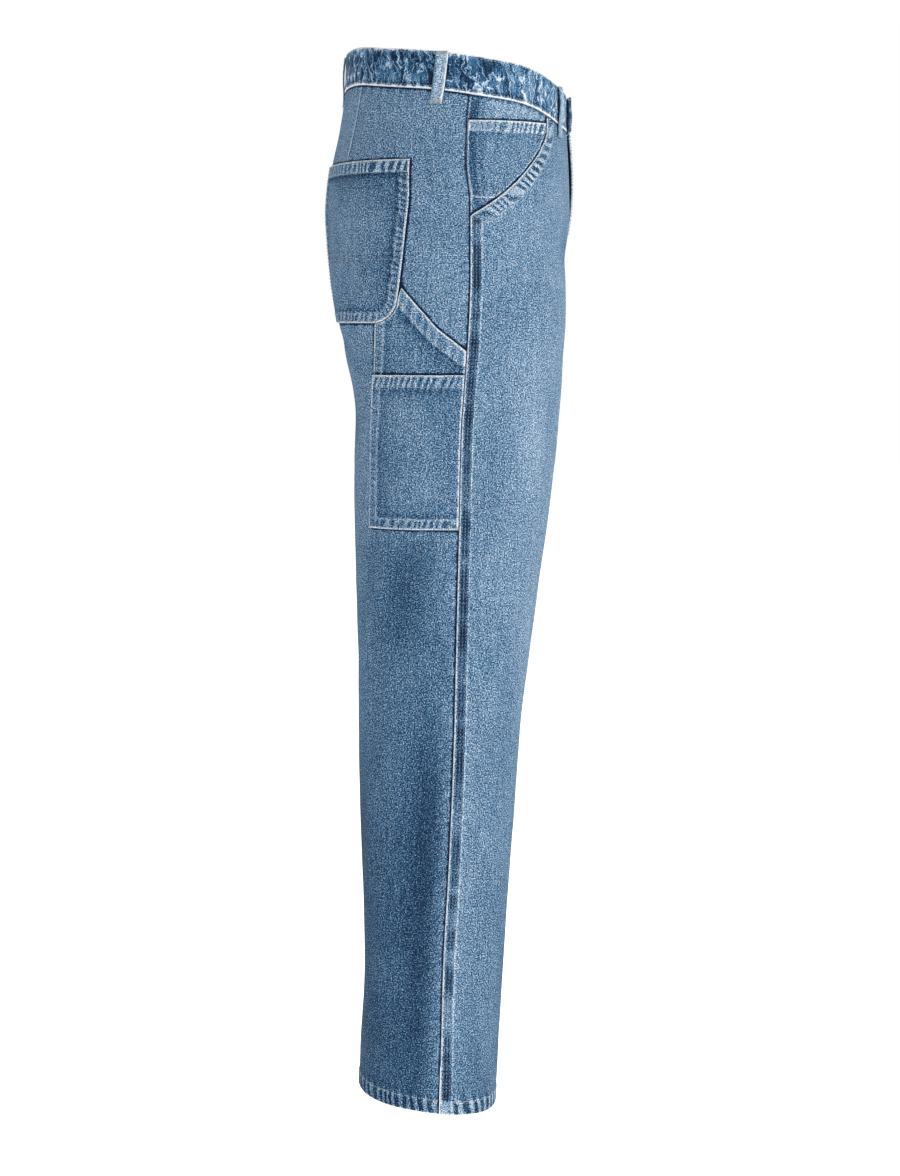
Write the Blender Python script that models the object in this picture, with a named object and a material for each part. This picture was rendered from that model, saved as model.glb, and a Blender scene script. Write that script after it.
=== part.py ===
"""Carpenter pants in washed denim, filled out as if worn, with nobody in them.

Frame: metres, +Z up, the front faces -Y, the wearer's right is -X. The origin is the middle of the
waist, where a wearer holds the garment up.

Each side of the garment is one skin, a grid of columns round the body and leg and of rows down it.
A place on the skin is given as a pattern maker gives it: the width along the cloth from the side seam,
plus to the front and minus to the back, and the height. Every piece is an outline in those two numbers,
cut from the grid and moved out or in to its own layer, so pieces that lie on each other stay parallel.
"""
import bmesh
import bpy
import numpy as np
from mathutils.geometry import delaunay_2d_cdt

# Driving dimensions, in metres
CLOTH = 0.0016            # wall of a leg panel
PATCH = 0.0011            # wall of a patch pocket
SEAM = 0.0003             # gap between two pieces
BAND_HEIGHT = 0.037
BAND_WALL = 0.0022
BAND_STANDS_OUT = 0.0008
FLY_BOTTOM = -0.170       # height where the fly flap ends
FLY_LAP = 0.008           # how far the flap runs over the right front
CUFF_HEIGHT = 0.014       # turned-up hem, twice the cloth
CUFF_STANDS_OUT = 0.0007
LOOP_WIDTH = 0.012
LOOP_LENGTH = 0.050
LOOP_WALL = 0.0011
BUTTON_RADIUS = 0.0085
CORNER_FULLNESS = 0.10    # how much squarer than an ellipse a section is
MIDDLE_GAP = 0.0002       # from the middle plane to each half

# Sections of the right half, top to bottom. Reaches are distances from the middle plane: outer to the
# side, inner past the middle, in front and behind. Front, back, middle and side seam are positions
# along Y. Below the crotch both inner reaches are minus, and the section is a closed leg.
HEIGHT, OUTER, FRONT, BACK, INNER_FRONT, INNER_BACK, MIDDLE, SIDE_SEAM = range(8)
SECTIONS = np.array([
    # height, outer, front, back, inner front, inner back, middle, side seam
    (0.045, 0.1490, -0.1060, 0.1115, 0.1490, 0.1490, 0.000, -0.0120),
    (0.000, 0.1520, -0.1100, 0.1130, 0.1520, 0.1520, 0.000, -0.0120),
    (-0.040, 0.1580, -0.1105, 0.1185, 0.1580, 0.1580, 0.000, -0.0090),
    (-0.080, 0.1670, -0.1120, 0.1268, 0.1600, 0.1540, 0.000, -0.0080),
    (-0.120, 0.1740, -0.1125, 0.1308, 0.1350, 0.1300, 0.000, -0.0115),
    (-0.160, 0.1785, -0.1095, 0.1272, 0.0880, 0.0860, 0.001, -0.0115),
    (-0.190, 0.1800, -0.1075, 0.1235, 0.0460, 0.0460, 0.002, -0.0115),
    (-0.210, 0.1805, -0.1066, 0.1208, 0.0230, 0.0220, 0.003, -0.0110),
    (-0.225, 0.1805, -0.1060, 0.1180, 0.0080, 0.0075, 0.004, -0.0105),
    (-0.235, 0.1805, -0.1055, 0.1162, 0.0000, 0.0000, 0.004, -0.0100),
    (-0.260, 0.1800, -0.1034, 0.1118, -0.0015, -0.0015, 0.005, -0.0085),
    (-0.300, 0.1785, -0.1012, 0.1045, -0.0030, -0.0030, 0.007, -0.0055),
    (-0.340, 0.1770, -0.0975, 0.1022, -0.0050, -0.0050, 0.009, -0.0030),
    (-0.425, 0.1745, -0.0882, 0.1005, -0.0120, -0.0120, 0.012, -0.0010),
    (-0.505, 0.1720, -0.0774, 0.0990, -0.0180, -0.0180, 0.014, 0.0010),
    (-0.555, 0.1715, -0.0702, 0.0988, -0.0210, -0.0210, 0.016, 0.0022),
    (-0.640, 0.1715, -0.0605, 0.0984, -0.0250, -0.0250, 0.019, 0.0045),
    (-0.750, 0.1720, -0.0549, 0.0966, -0.0280, -0.0280, 0.022, 0.0090),
    (-0.850, 0.1730, -0.0487, 0.0950, -0.0300, -0.0300, 0.026, 0.0145),
    (-0.930, 0.1735, -0.0432, 0.0962, -0.0310, -0.0310, 0.029, 0.0165),
    (-1.010, 0.1735, -0.0365, 0.0978, -0.0320, -0.0320, 0.031, 0.0185),
])
CROTCH = -0.235
INSEAM_TURN = 0.14        # radians by which the inseam lies in front of the innermost point
INSEAM_RUN = 0.165        # height over which it moves there below the crotch

# Top of the waistband round one half: share of the way to the middle of the front, or back, and height
WAIST_TOP = np.array([
    # share, height
    (-1.00, 0.0360),
    (-0.70, 0.0365),
    (-0.40, 0.0310),
    (-0.18, 0.0270),
    (0.07, 0.0205),
    (0.27, 0.0160),
    (0.41, 0.0110),
    (0.59, 0.0015),
    (0.72, -0.0030),
    (1.00, -0.0055),
])
HEM_AT_SIDE = -0.9915
HEM_SLOPE = 0.13          # rise of the hem for each metre to the back
HEM_SIDE_Y = 0.018

# The grid: shares of the way round, and heights
BACK_SHARES = (-1.0, -0.90, -0.80, -0.70, -0.60, -0.50, -0.40, -0.30, -0.20, -0.12, -0.055)
FRONT_SHARES = (0.0, 0.08, 0.17, 0.27, 0.37, 0.48, 0.59, 0.70, 0.80, 0.90, 1.0)
ROWS = (
    0.045, 0.020, -0.004, -0.026, -0.048, -0.072, -0.097, -0.122, -0.147, -0.170, -0.190, -0.206,
    -0.218, -0.227, -0.235, -0.244, -0.260, -0.284, -0.312, -0.345, -0.380, -0.415, -0.450, -0.485,
    -0.520, -0.555, -0.592, -0.630, -0.670, -0.710, -0.750, -0.790, -0.830, -0.870, -0.910, -0.945,
    -0.976, -1.010,
)

# Largest folds of each leg: from a place at the top to one at the bottom, half width and rise
FOLDS = {
    "right": (
        # top width, top height, bottom width, bottom height, half width, rise
        (-0.046, -0.435, -0.060, -0.545, 0.022, -0.0035),
        (0.004, -0.570, 0.000, -0.990, 0.017, 0.0022),
        (-0.024, -0.590, -0.020, -0.990, 0.017, -0.0038),
        (0.070, -0.240, 0.071, -0.400, 0.022, 0.0018),
        (0.108, -0.690, 0.096, -0.990, 0.022, -0.0028),
        (-0.215, -0.265, -0.120, -0.345, 0.026, -0.0032),
        (-0.110, -0.640, -0.125, -0.930, 0.026, -0.0030),
        (0.215, -0.190, 0.120, -0.150, 0.020, -0.0022),
        (0.190, -0.440, 0.160, -0.640, 0.024, -0.0030),
        (-0.200, -0.480, -0.190, -0.700, 0.024, 0.0024),
    ),
    "left": (
        # top width, top height, bottom width, bottom height, half width, rise
        (-0.052, -0.400, -0.064, -0.520, 0.024, -0.0032),
        (0.008, -0.600, 0.004, -0.990, 0.018, 0.0020),
        (-0.028, -0.620, -0.022, -0.990, 0.018, -0.0034),
        (0.078, -0.260, 0.074, -0.430, 0.024, 0.0020),
        (0.100, -0.720, 0.104, -0.990, 0.022, -0.0025),
        (-0.205, -0.275, -0.130, -0.330, 0.026, -0.0030),
        (-0.118, -0.610, -0.112, -0.880, 0.026, -0.0032),
        (0.210, -0.200, 0.130, -0.165, 0.022, -0.0024),
        (0.180, -0.470, 0.170, -0.660, 0.024, -0.0028),
        (-0.210, -0.500, -0.180, -0.720, 0.024, 0.0022),
    ),
}

# Outlines of the pieces that lie on the skin, in width and height
SCOOP = ((0.0950, -0.010), (0.0950, -0.047), (0.0841, -0.065), (0.0623, -0.087),
         (0.0338, -0.109), (0.0131, -0.123))
SCOOP_END = -0.131        # height where the scooped mouth meets the side seam
FACING_RUNS_UNDER = 0.014
COIN_POCKET = (-0.0395, -0.1140)          # top and bottom height
POCKET_TOP = -0.0770
POCKET_BOTTOM = -0.2325
POCKET_SIDES = ((-0.0540, -0.0690), (-0.2140, -0.2040))   # near and far width, at the top and bottom
POCKET_CORNER = 0.024
TOOL_SIDE = -0.0915
TOOL_BOTTOM = -0.4285
TOOL_MOUTH = (-0.0655, -0.1990, -0.2590)  # width at the back pocket, height there, height at the seam
TOOL_OVER_TOP = -0.2815
BACK_POCKET_CLEARANCE = 0.0006

PALE_DENIM = (0.17, 0.30, 0.46, 1.0)
MID_DENIM = (0.11, 0.21, 0.33, 1.0)
DARK_DENIM = (0.07, 0.12, 0.20, 1.0)
BRASS = (0.36, 0.27, 0.15, 1.0)
TAPE = (0.03, 0.05, 0.09, 1.0)


def clear_scene():
    for item in list(bpy.data.objects):
        bpy.data.objects.remove(item, do_unlink=True)


def material(name, colour, roughness, metallic=0.0):
    found = bpy.data.materials.get(name)
    if found:
        return found
    made = bpy.data.materials.new(name)
    made.use_nodes = True
    shader = made.node_tree.nodes["Principled BSDF"]
    shader.inputs["Base Color"].default_value = colour
    shader.inputs["Roughness"].default_value = roughness
    shader.inputs["Metallic"].default_value = metallic
    return made


def smooth_table(keys, values, at):
    """Read a table between its rows with a curve that never overshoots. Keys rise."""
    steps = np.diff(values) / np.diff(keys)
    slopes = np.zeros(len(values))
    slopes[0] = steps[0]
    slopes[-1] = steps[-1]
    for k in range(1, len(values) - 1):
        product = steps[k - 1] * steps[k]
        if product > 0:
            slopes[k] = 2 * product / (steps[k - 1] + steps[k])
    at = np.clip(at, keys[0], keys[-1])
    k = np.clip(np.searchsorted(keys, at) - 1, 0, len(keys) - 2)
    run = keys[k + 1] - keys[k]
    t = (at - keys[k]) / run
    start = values[k] * (1 + 2 * t) * (1 - t) ** 2 + slopes[k] * run * t * (1 - t) ** 2
    end = values[k + 1] * t * t * (3 - 2 * t) + slopes[k + 1] * run * t * t * (t - 1)
    return start + end


def section(height, column):
    return smooth_table(SECTIONS[::-1, HEIGHT], SECTIONS[::-1, column], height)


def ease(low, high, at):
    t = np.clip((at - low) / (high - low), 0, 1)
    return t * t * (3 - 2 * t)


def ring(height, angle):
    """A point of the right half's section. Angle 0 is the outermost point, plus goes to the front."""
    in_front = angle >= 0
    outer = section(height, OUTER)
    inner = np.where(in_front, section(height, INNER_FRONT), section(height, INNER_BACK))
    middle = section(height, MIDDLE)
    reach = np.where(in_front, middle - section(height, FRONT), section(height, BACK) - middle)
    x = (inner - outer) / 2 - (inner + outer) / 2 * np.cos(angle) * (
        1 + CORNER_FULLNESS * np.sin(angle) ** 2)
    y = middle - reach * np.sin(angle) * (1 + CORNER_FULLNESS * np.cos(angle) ** 2)
    return x, y


def end_angle(height, direction):
    """The angle, in front or behind, where the section reaches the middle plane."""
    low = np.full(np.shape(height), np.pi / 3)
    high = np.full(np.shape(height), np.pi)
    for _ in range(40):
        half = (low + high) / 2
        short = ring(height, half * direction)[0] < -MIDDLE_GAP
        low = np.where(short, half, low)
        high = np.where(short, high, half)
    return low


def skin_point(height, share):
    """A point of the right half. Share runs from -1, the middle of the back, through the side seam at 0
    to 1, the middle of the front. Below the crotch both ends are the inseam."""
    height, share = np.broadcast_arrays(np.asarray(height, float), np.asarray(share, float))
    turn = INSEAM_TURN * ease(0, INSEAM_RUN, CROTCH - height)
    middle = section(height, MIDDLE)
    reach = (middle - section(height, FRONT)) * (1 + CORNER_FULLNESS)
    side = np.arcsin((middle - section(height, SIDE_SEAM)) / reach)
    front_end = end_angle(height, 1) - turn
    back_end = end_angle(height, -1) + turn
    angle = np.where(share >= 0, side + share * (front_end - side), side + share * (back_end + side))
    angle = np.where(angle < -np.pi, angle + 2 * np.pi, angle)
    x, y = ring(height, angle)
    return np.stack([x, y, height], axis=-1)


def fold_rise(width, height, folds):
    """Height of the folds at a place: each is a soft ridge or trough that fades at both ends."""
    total = np.zeros(np.shape(width))
    for top_width, top_height, bottom_width, bottom_height, half_width, rise in folds:
        along = np.array((bottom_width - top_width, bottom_height - top_height))
        length = np.hypot(*along)
        along = along / length
        from_top = ((width - top_width) * along[0] + (height - top_height) * along[1]) / length
        aside = (width - top_width) * along[1] - (height - top_height) * along[0]
        fade = ease(-0.1, 0.25, from_top) * ease(-0.1, 0.25, 1 - from_top)
        total = total + rise * fade * np.exp(-(aside / half_width) ** 2)
    return total


class Skin:
    """The grid of one side: its points, outward normals and widths, one row for each height."""

    def __init__(self, side):
        self.side = side
        self.sign = 1 if side == "right" else -1
        self.shares = np.array(BACK_SHARES + FRONT_SHARES)
        self.heights = np.array(ROWS)
        self.seam_column = len(BACK_SHARES)
        rows, columns = np.meshgrid(self.heights, self.shares, indexing="ij")
        points = skin_point(rows, columns)
        step = 0.002
        after = skin_point(rows, np.minimum(columns + step, 1))
        before = skin_point(rows, np.maximum(columns - step, -1))
        down = skin_point(rows - step, columns) - skin_point(rows + step, columns)
        normals = np.cross(down, after - before)
        normals /= np.linalg.norm(normals, axis=2, keepdims=True)
        self.widths = self.arc_lengths()
        rise = fold_rise(self.widths, rows, FOLDS[side])
        points = points + normals * (rise * ease(0, 0.012, self.from_middle()))[..., None]
        mirror = np.array((self.sign, 1, 1))
        self.points = points * mirror
        self.normals = normals * mirror
        self.front_columns = len(self.shares)

    def arc_lengths(self):
        fine = np.linspace(-1, 1, 401)
        widths = []
        for height in self.heights:
            spots = skin_point(height, fine)
            lengths = np.linalg.norm(np.diff(spots, axis=0), axis=1)
            total = np.concatenate([[0], np.cumsum(lengths)])
            widths.append(np.interp(self.shares, fine, total - total[200]))
        return np.array(widths)

    def from_middle(self):
        """Distance of each grid point from the end of its row, so folds die out at the seams there."""
        return np.minimum(self.widths[:, -1:] - self.widths, self.widths - self.widths[:, :1])

    def lap_over(self, other):
        """Add one column past the middle of the front, lying on the other side's skin."""
        self.points = np.concatenate([self.points, other.points[:, -2:-1]], axis=1)
        self.normals = np.concatenate([self.normals, other.normals[:, -2:-1]], axis=1)
        beyond = 2 * self.widths[:, -1:] - self.widths[:, -2:-1]
        self.widths = np.concatenate([self.widths, beyond], axis=1)

    def row_at(self, height):
        return np.interp(-height, -self.heights, np.arange(len(self.heights)))

    def grid_place(self, width, height):
        """Column and row, with fractions, of a place given by width and height."""
        row = self.row_at(height)
        above = min(int(row), len(self.heights) - 2)
        part = row - above
        columns = np.arange(self.widths.shape[1])
        upper = np.interp(width, self.widths[above], columns)
        lower = np.interp(width, self.widths[above + 1], columns)
        return upper * (1 - part) + lower * part, row

    def spot(self, column, row):
        """Point and normal on the flat triangles between the grid's points."""
        i = min(int(column), self.widths.shape[1] - 2)
        j = min(int(row), len(self.heights) - 2)
        u = column - i
        v = row - j
        corners = ((i, j), (i + 1, j), (i, j + 1), (i + 1, j + 1))
        if i < self.front_columns - 1:
            shares = (1 - max(u, v), max(u - v, 0), max(v - u, 0), min(u, v))
        else:
            shares = (max(1 - u - v, 0), min(u, 1 - v), min(v, 1 - u), max(u + v - 1, 0))
        point = sum(s * self.points[b, a] for s, (a, b) in zip(shares, corners))
        normal = sum(s * self.normals[b, a] for s, (a, b) in zip(shares, corners))
        return point, normal / np.linalg.norm(normal)

    def place(self, width, height, out=0.0):
        point, normal = self.spot(*self.grid_place(width, height))
        return point + normal * out

    def end_width(self, height, front=True):
        """Width of the last place before the middle, or the inseam."""
        column = self.front_columns - 1 if front else 0
        return np.interp(-height, -self.heights, self.widths[:, column])

    def width_at_share(self, share, height):
        row = self.row_at(height)
        above = min(int(row), len(self.heights) - 2)
        count = self.front_columns
        upper = np.interp(share, self.shares, self.widths[above, :count])
        lower = np.interp(share, self.shares, self.widths[above + 1, :count])
        return upper + (row - above) * (lower - upper)

    def share_at(self, width, height):
        column = self.grid_place(width, height)[0]
        return np.interp(column, np.arange(self.front_columns), self.shares)


def band_top(share):
    return float(smooth_table(WAIST_TOP[:, 0], WAIST_TOP[:, 1], share))


def band_seam(share):
    return band_top(share) - BAND_HEIGHT


def hem_height(skin, width):
    """Height of the hem at a width: it rises to the back."""
    depth = skin.place(width, HEM_AT_SIDE)[1]
    return HEM_AT_SIDE + HEM_SLOPE * (depth - HEM_SIDE_Y)


def add_object(name, vertices, triangles, looks):
    mesh = bpy.data.meshes.new(name)
    shape = bmesh.new()
    corners = [shape.verts.new(tuple(v)) for v in vertices]
    for triangle in triangles:
        shape.faces.new([corners[k] for k in triangle])
    bmesh.ops.recalc_face_normals(shape, faces=shape.faces)
    if shape.calc_volume(signed=True) < 0:
        bmesh.ops.reverse_faces(shape, faces=shape.faces)
    shape.to_mesh(mesh)
    shape.free()
    mesh.shade_smooth()
    mesh.set_sharp_from_angle(angle=np.radians(40))
    item = bpy.data.objects.new(name, mesh)
    item.data.materials.append(looks)
    bpy.context.scene.collection.objects.link(item)
    return item


def inside(outline, x, y):
    """Whether a point lies in a closed outline."""
    found = False
    for k, (x1, y1) in enumerate(outline):
        x0, y0 = outline[k - 1]
        if (y0 > y) != (y1 > y) and x < x0 + (y - y0) * (x1 - x0) / (y1 - y0):
            found = not found
    return found


def follow_rows(skin, outline):
    """Add a point to each edge of an outline wherever it crosses a row of the grid."""
    result = []
    for k, (width, height) in enumerate(outline):
        last_width, last_height = outline[k - 1]
        crossed = [h for h in skin.heights if min(height, last_height) < h < max(height, last_height)]
        if last_height < height:
            crossed = crossed[::-1]
        for row_height in crossed:
            part = (row_height - last_height) / (height - last_height)
            result.append((last_width + part * (width - last_width), row_height))
        result.append((width, height))
    return result


def cut_flat(skin, outline):
    """Cut an outline from the grid. Gives grid places and triangles, all within single cells."""
    places = [skin.grid_place(w, h) for w, h in follow_rows(skin, outline)]
    columns = [p[0] for p in places]
    rows = [p[1] for p in places]
    first_column = int(min(columns))
    last_column = min(int(np.ceil(max(columns))), skin.widths.shape[1] - 1)
    first_row = int(min(rows))
    last_row = min(int(np.ceil(max(rows))), len(skin.heights) - 1)
    vertices = list(places)
    edges = [(k, (k + 1) % len(places)) for k in range(len(places))]
    number = {}
    for i in range(first_column, last_column + 1):
        for j in range(first_row, last_row + 1):
            number[i, j] = len(vertices)
            vertices.append((i, j))
    for (i, j), k in number.items():
        for neighbour in ((i + 1, j), (i, j + 1)):
            if neighbour in number:
                edges.append((k, number[neighbour]))
        if (i + 1, j + 1) in number:
            if i < skin.front_columns - 1:
                edges.append((k, number[i + 1, j + 1]))
            else:
                edges.append((number[i + 1, j], number[i, j + 1]))
    flat, _, faces, *_ = delaunay_2d_cdt(vertices, edges, [], 0, 1e-5)
    flat = [tuple(p) for p in flat]
    kept = []
    for face in faces:
        middle = np.mean([flat[k] for k in face], axis=0)
        if inside(places, middle[0], middle[1]):
            kept.append(tuple(face))
    used = sorted({k for face in kept for k in face})
    renumber = {old: new for new, old in enumerate(used)}
    return [flat[k] for k in used], [tuple(renumber[k] for k in face) for face in kept]


def height_at_row(skin, row):
    return np.interp(row, np.arange(len(skin.heights)), skin.heights)


def width_at_place(skin, column, row):
    above = min(int(row), len(skin.heights) - 2)
    columns = np.arange(skin.widths.shape[1])
    upper = np.interp(column, columns, skin.widths[above])
    lower = np.interp(column, columns, skin.widths[above + 1])
    return upper + (row - above) * (lower - upper)


def cloth(name, skin, outline, low, high, looks, lift=None):
    """A piece of cloth over an outline, between two levels measured out from the skin. lift, if given,
    is a function of width and height that moves both levels."""
    flat, faces = cut_flat(skin, outline)
    inner = []
    outer = []
    for column, row in flat:
        point, normal = skin.spot(column, row)
        rise_low = rise_high = 0.0
        if lift:
            rise_low, rise_high = lift(width_at_place(skin, column, row), height_at_row(skin, row))
        inner.append(point + normal * (low + rise_low))
        outer.append(point + normal * (high + rise_high))
    count = len(flat)
    triangles = []
    sides = {}
    for a, b, c in faces:
        triangles.append((a + count, b + count, c + count))
        triangles.append((c, b, a))
        for edge in ((a, b), (b, c), (c, a)):
            sides[edge] = True
    for a, b in sides:
        if (b, a) not in sides:
            triangles.append((a, b, b + count))
            triangles.append((a, b + count, a + count))
    return add_object(name, inner + outer, triangles, looks)


def slab(name, inner, outer, looks):
    """A closed strip from two equal grids of points, one over the other."""
    rows = len(inner)
    columns = len(inner[0])
    vertices = [p for row in inner for p in row] + [p for row in outer for p in row]
    shift = rows * columns
    triangles = []

    def quad(a, b, c, d):
        triangles.append((a, b, c))
        triangles.append((a, c, d))

    for j in range(rows - 1):
        for i in range(columns - 1):
            a = j * columns + i
            b = a + 1
            c = a + columns + 1
            d = a + columns
            quad(a, b, c, d)
            quad(a + shift, d + shift, c + shift, b + shift)
    rim = [i for i in range(columns)]
    rim += [j * columns + columns - 1 for j in range(1, rows)]
    rim += [(rows - 1) * columns + i for i in range(columns - 2, -1, -1)]
    rim += [j * columns for j in range(rows - 2, 0, -1)]
    for k, a in enumerate(rim):
        b = rim[(k + 1) % len(rim)]
        quad(b, a, a + shift, b + shift)
    return add_object(name, vertices, triangles, looks)


def seam_points(skin, share_from, share_to, below):
    """The line where the panels meet the waistband, from one share to another."""
    low, high = sorted((share_from, share_to))
    shares = [s for s in skin.shares if low < s < high]
    shares = [low] + list(shares) + [high]
    if share_from > share_to:
        shares = shares[::-1]
    line = []
    for share in shares:
        height = band_seam(share) - below
        line.append((skin.width_at_share(share, height), height))
    return line


def end_line(skin, from_height, to_height, front):
    """Points down, or up, the middle seam and the inseam."""
    heights = [h for h in skin.heights if min(from_height, to_height) < h < max(from_height, to_height)]
    heights = [from_height] + sorted(heights, reverse=bool(from_height > to_height)) + [to_height]
    inset = -SEAM / 2 if front else SEAM / 2
    return [(skin.end_width(h, front) + inset, h) for h in heights]


def hem_line(skin, from_width, to_width):
    columns = skin.widths[-2, :skin.front_columns]
    low, high = sorted((from_width, to_width))
    widths = [low] + [w for w in columns if low + 0.004 < w < high - 0.004] + [high]
    if from_width > to_width:
        widths = widths[::-1]
    return [(w, hem_height(skin, w)) for w in widths]


def cuff_lift(skin):
    """The turned-up hem stands out from the leg."""
    def lift(width, height):
        edge = hem_height(skin, width)
        up = height - edge
        amount = CUFF_STANDS_OUT * (1 - ease(CUFF_HEIGHT, CUFF_HEIGHT + 0.010, up))
        return 0.0, amount
    return lift


def fly_rise(skin, width, height):
    """How far the left front lies out over the right one along the fly."""
    near = ease(-0.034, -0.004, width - skin.end_width(height))
    most = 0.0023 + 0.0026 * np.exp(-((height + 0.085) / 0.045) ** 2)
    fade = ease(FLY_BOTTOM - 0.045, FLY_BOTTOM - 0.006, height)
    return most * near * fade


def front_panel(skin):
    """Front leg: side seam, scooped pocket mouth, waist, middle, crotch and inseam."""
    gap = SEAM / 2
    outline = [(gap, SCOOP_END)]
    outline += [place for place in SCOOP[:0:-1]]
    top_width = SCOOP[0][0]
    top_share = skin.share_at(top_width, -0.03)
    outline.append((top_width, band_seam(top_share) - gap))
    outline += seam_points(skin, top_share, 1.0, gap)[1:-1]
    top = band_seam(1.0) - gap
    if skin.side == "left":
        outline.append((skin.end_width(top) + FLY_LAP, top))
        for height in (-0.072, -0.097, -0.122, FLY_BOTTOM + 0.026):
            outline.append((skin.end_width(height) + FLY_LAP, height))
        outline.append((skin.end_width(FLY_BOTTOM + 0.010) + FLY_LAP * 0.7, FLY_BOTTOM + 0.010))
        outline.append((skin.end_width(FLY_BOTTOM) + gap, FLY_BOTTOM))
        top = FLY_BOTTOM - 0.004
    inner_hem = skin.end_width(HEM_AT_SIDE) - gap
    outline += end_line(skin, top, hem_height(skin, inner_hem), front=True)[:-1]
    outline += hem_line(skin, inner_hem, gap)
    cuff = cuff_lift(skin)

    def lift(width, height):
        low, high = cuff(width, height)
        rise = fly_rise(skin, width, height) if skin.side == "left" else 0.0
        return low + rise, high + rise

    return cloth("front_" + skin.side, skin, outline, -CLOTH, 0, material("pale_denim", PALE_DENIM, 0.9),
                 lift)


def back_panel(skin):
    """Back leg: side seam, waist, middle of the seat, crotch and inseam."""
    gap = SEAM / 2
    outline = seam_points(skin, -1.0, 0.0, gap)
    outline[0] = (skin.end_width(outline[0][1], False) + gap, outline[0][1])
    outline[-1] = (-gap, outline[-1][1])
    inner_hem = skin.end_width(HEM_AT_SIDE, False) + gap
    outline += hem_line(skin, -gap, inner_hem)
    outline += end_line(skin, hem_height(skin, inner_hem), band_seam(-1.0) - gap, front=False)[1:-1]
    return cloth("back_" + skin.side, skin, outline, -CLOTH, 0, material("mid_denim", MID_DENIM, 0.9),
                 cuff_lift(skin))


def waistband(right, left):
    """One strip: the right end lies under, then round the back, and the left end laps over it."""
    stations = [
        # side, share, move out from the band's plain place
        (left, 0.92, -0.0013),
        (left, 0.96, -0.0013),
        (right, 1.00, -0.0013),
    ]
    dips = {0.90: -0.0008, 0.80: -0.0002}
    for share in right.shares[::-1][1:]:
        stations.append((right, share, dips.get(round(float(share), 2), 0.0)))
    lifts = {0.80: 0.0006, 0.90: 0.0013, 1.0: 0.0017}
    for share in left.shares[1:]:
        stations.append((left, share, lifts.get(round(float(share), 2), 0.0)))
    stations.append((right, 0.975, 0.0022))
    stations.append((right, 0.945, 0.0042))
    inner = [[], [], []]
    outer = [[], [], []]
    plain = BAND_STANDS_OUT - BAND_WALL
    for skin, share, out in stations:
        seam = band_seam(share) + SEAM / 2
        top = band_top(share)
        for level, height in enumerate((seam, (seam + top) / 2, top)):
            width = skin.width_at_share(share, height)
            point, normal = skin.spot(*skin.grid_place(width, height))
            inner[level].append(point + normal * (plain + out))
            outer[level].append(point + normal * (BAND_STANDS_OUT + out))
    return slab("waistband", inner, outer, material("mid_denim", MID_DENIM, 0.9))


def belt_loop(name, skin, top_width, lean, top_height, other=None):
    """A folded strip from the top of the band to the panel below its seam. Where other is given, the
    loop straddles the middle of the back."""
    stations = 9
    inner = []
    outer = []
    share = skin.share_at(top_width, top_height)
    seam_part = (band_top(share) - band_seam(share)) / LOOP_LENGTH
    for k in range(stations):
        part = k / (stations - 1)
        height = top_height - 0.001 - part * LOOP_LENGTH
        if part <= seam_part:
            bow = 0.0013 * np.sin(np.pi * part / seam_part)
            level = BAND_STANDS_OUT + 0.00040 + bow
        else:
            down = (part - seam_part) / (1 - seam_part)
            level = BAND_STANDS_OUT + 0.00040 - ease(0.15, 0.9, down) * 0.00065
        inner_row = []
        outer_row = []
        for aside in (-0.5, 0.0, 0.5):
            width = top_width + lean * part + aside * LOOP_WIDTH
            used = skin
            end = skin.end_width(height, False)
            if other and width < end:
                used = other
                width = 2 * end - width
            if other and abs(width - end) < 1e-6:
                point, normal = skin.spot(*skin.grid_place(end, height))
                point = point * np.array((0, 1, 1))
                normal = normal * np.array((0, 1, 1))
            else:
                point, normal = used.spot(*used.grid_place(width, height))
            inner_row.append(point + normal * level)
            outer_row.append(point + normal * (level + LOOP_WALL))
        inner.append(inner_row)
        outer.append(outer_row)
    return slab(name, inner, outer, material("pale_denim", PALE_DENIM, 0.9))


def pocket_facing(skin):
    """The cloth behind the scooped mouth, running on under the front's edge."""
    gap = SEAM / 2
    under = FACING_RUNS_UNDER
    outline = [(gap * 2, SCOOP_END - 0.020), (0.030, SCOOP_END - 0.012)]
    outline += [(w + under * 0.7, h - under * 0.7) for w, h in SCOOP[:1:-1]]
    outline.append((SCOOP[1][0] + under, SCOOP[1][1]))
    top_share = skin.share_at(SCOOP[0][0] + under, -0.03)
    seam_share = skin.share_at(gap * 2, -0.02)
    line = seam_points(skin, top_share, seam_share, gap)
    outline += line
    level = -CLOTH - SEAM
    return cloth("pocket_facing_" + skin.side, skin, outline, level - PATCH, level,
                 material("pale_denim", PALE_DENIM, 0.9))


def coin_pocket(skin):
    """Small pocket on the right facing, as wide as the mouth shows it."""
    top, bottom = COIN_POCKET
    clear = 0.0012
    edge = [(w - clear, h + clear * 0.5) for w, h in SCOOP[1:] if bottom < h < top]
    low_width = float(np.interp(-bottom, [-h for _, h in SCOOP[1:]], [w for w, _ in SCOOP[1:]])) - 0.003
    outline = [(0.0010, bottom), (0.0010, top), (SCOOP[0][0] - clear, top)]
    outline += edge
    outline.append((low_width, bottom))
    level = -CLOTH
    return cloth("coin_pocket", skin, outline, level, level + PATCH, material("mid_denim", MID_DENIM, 0.9))


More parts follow.
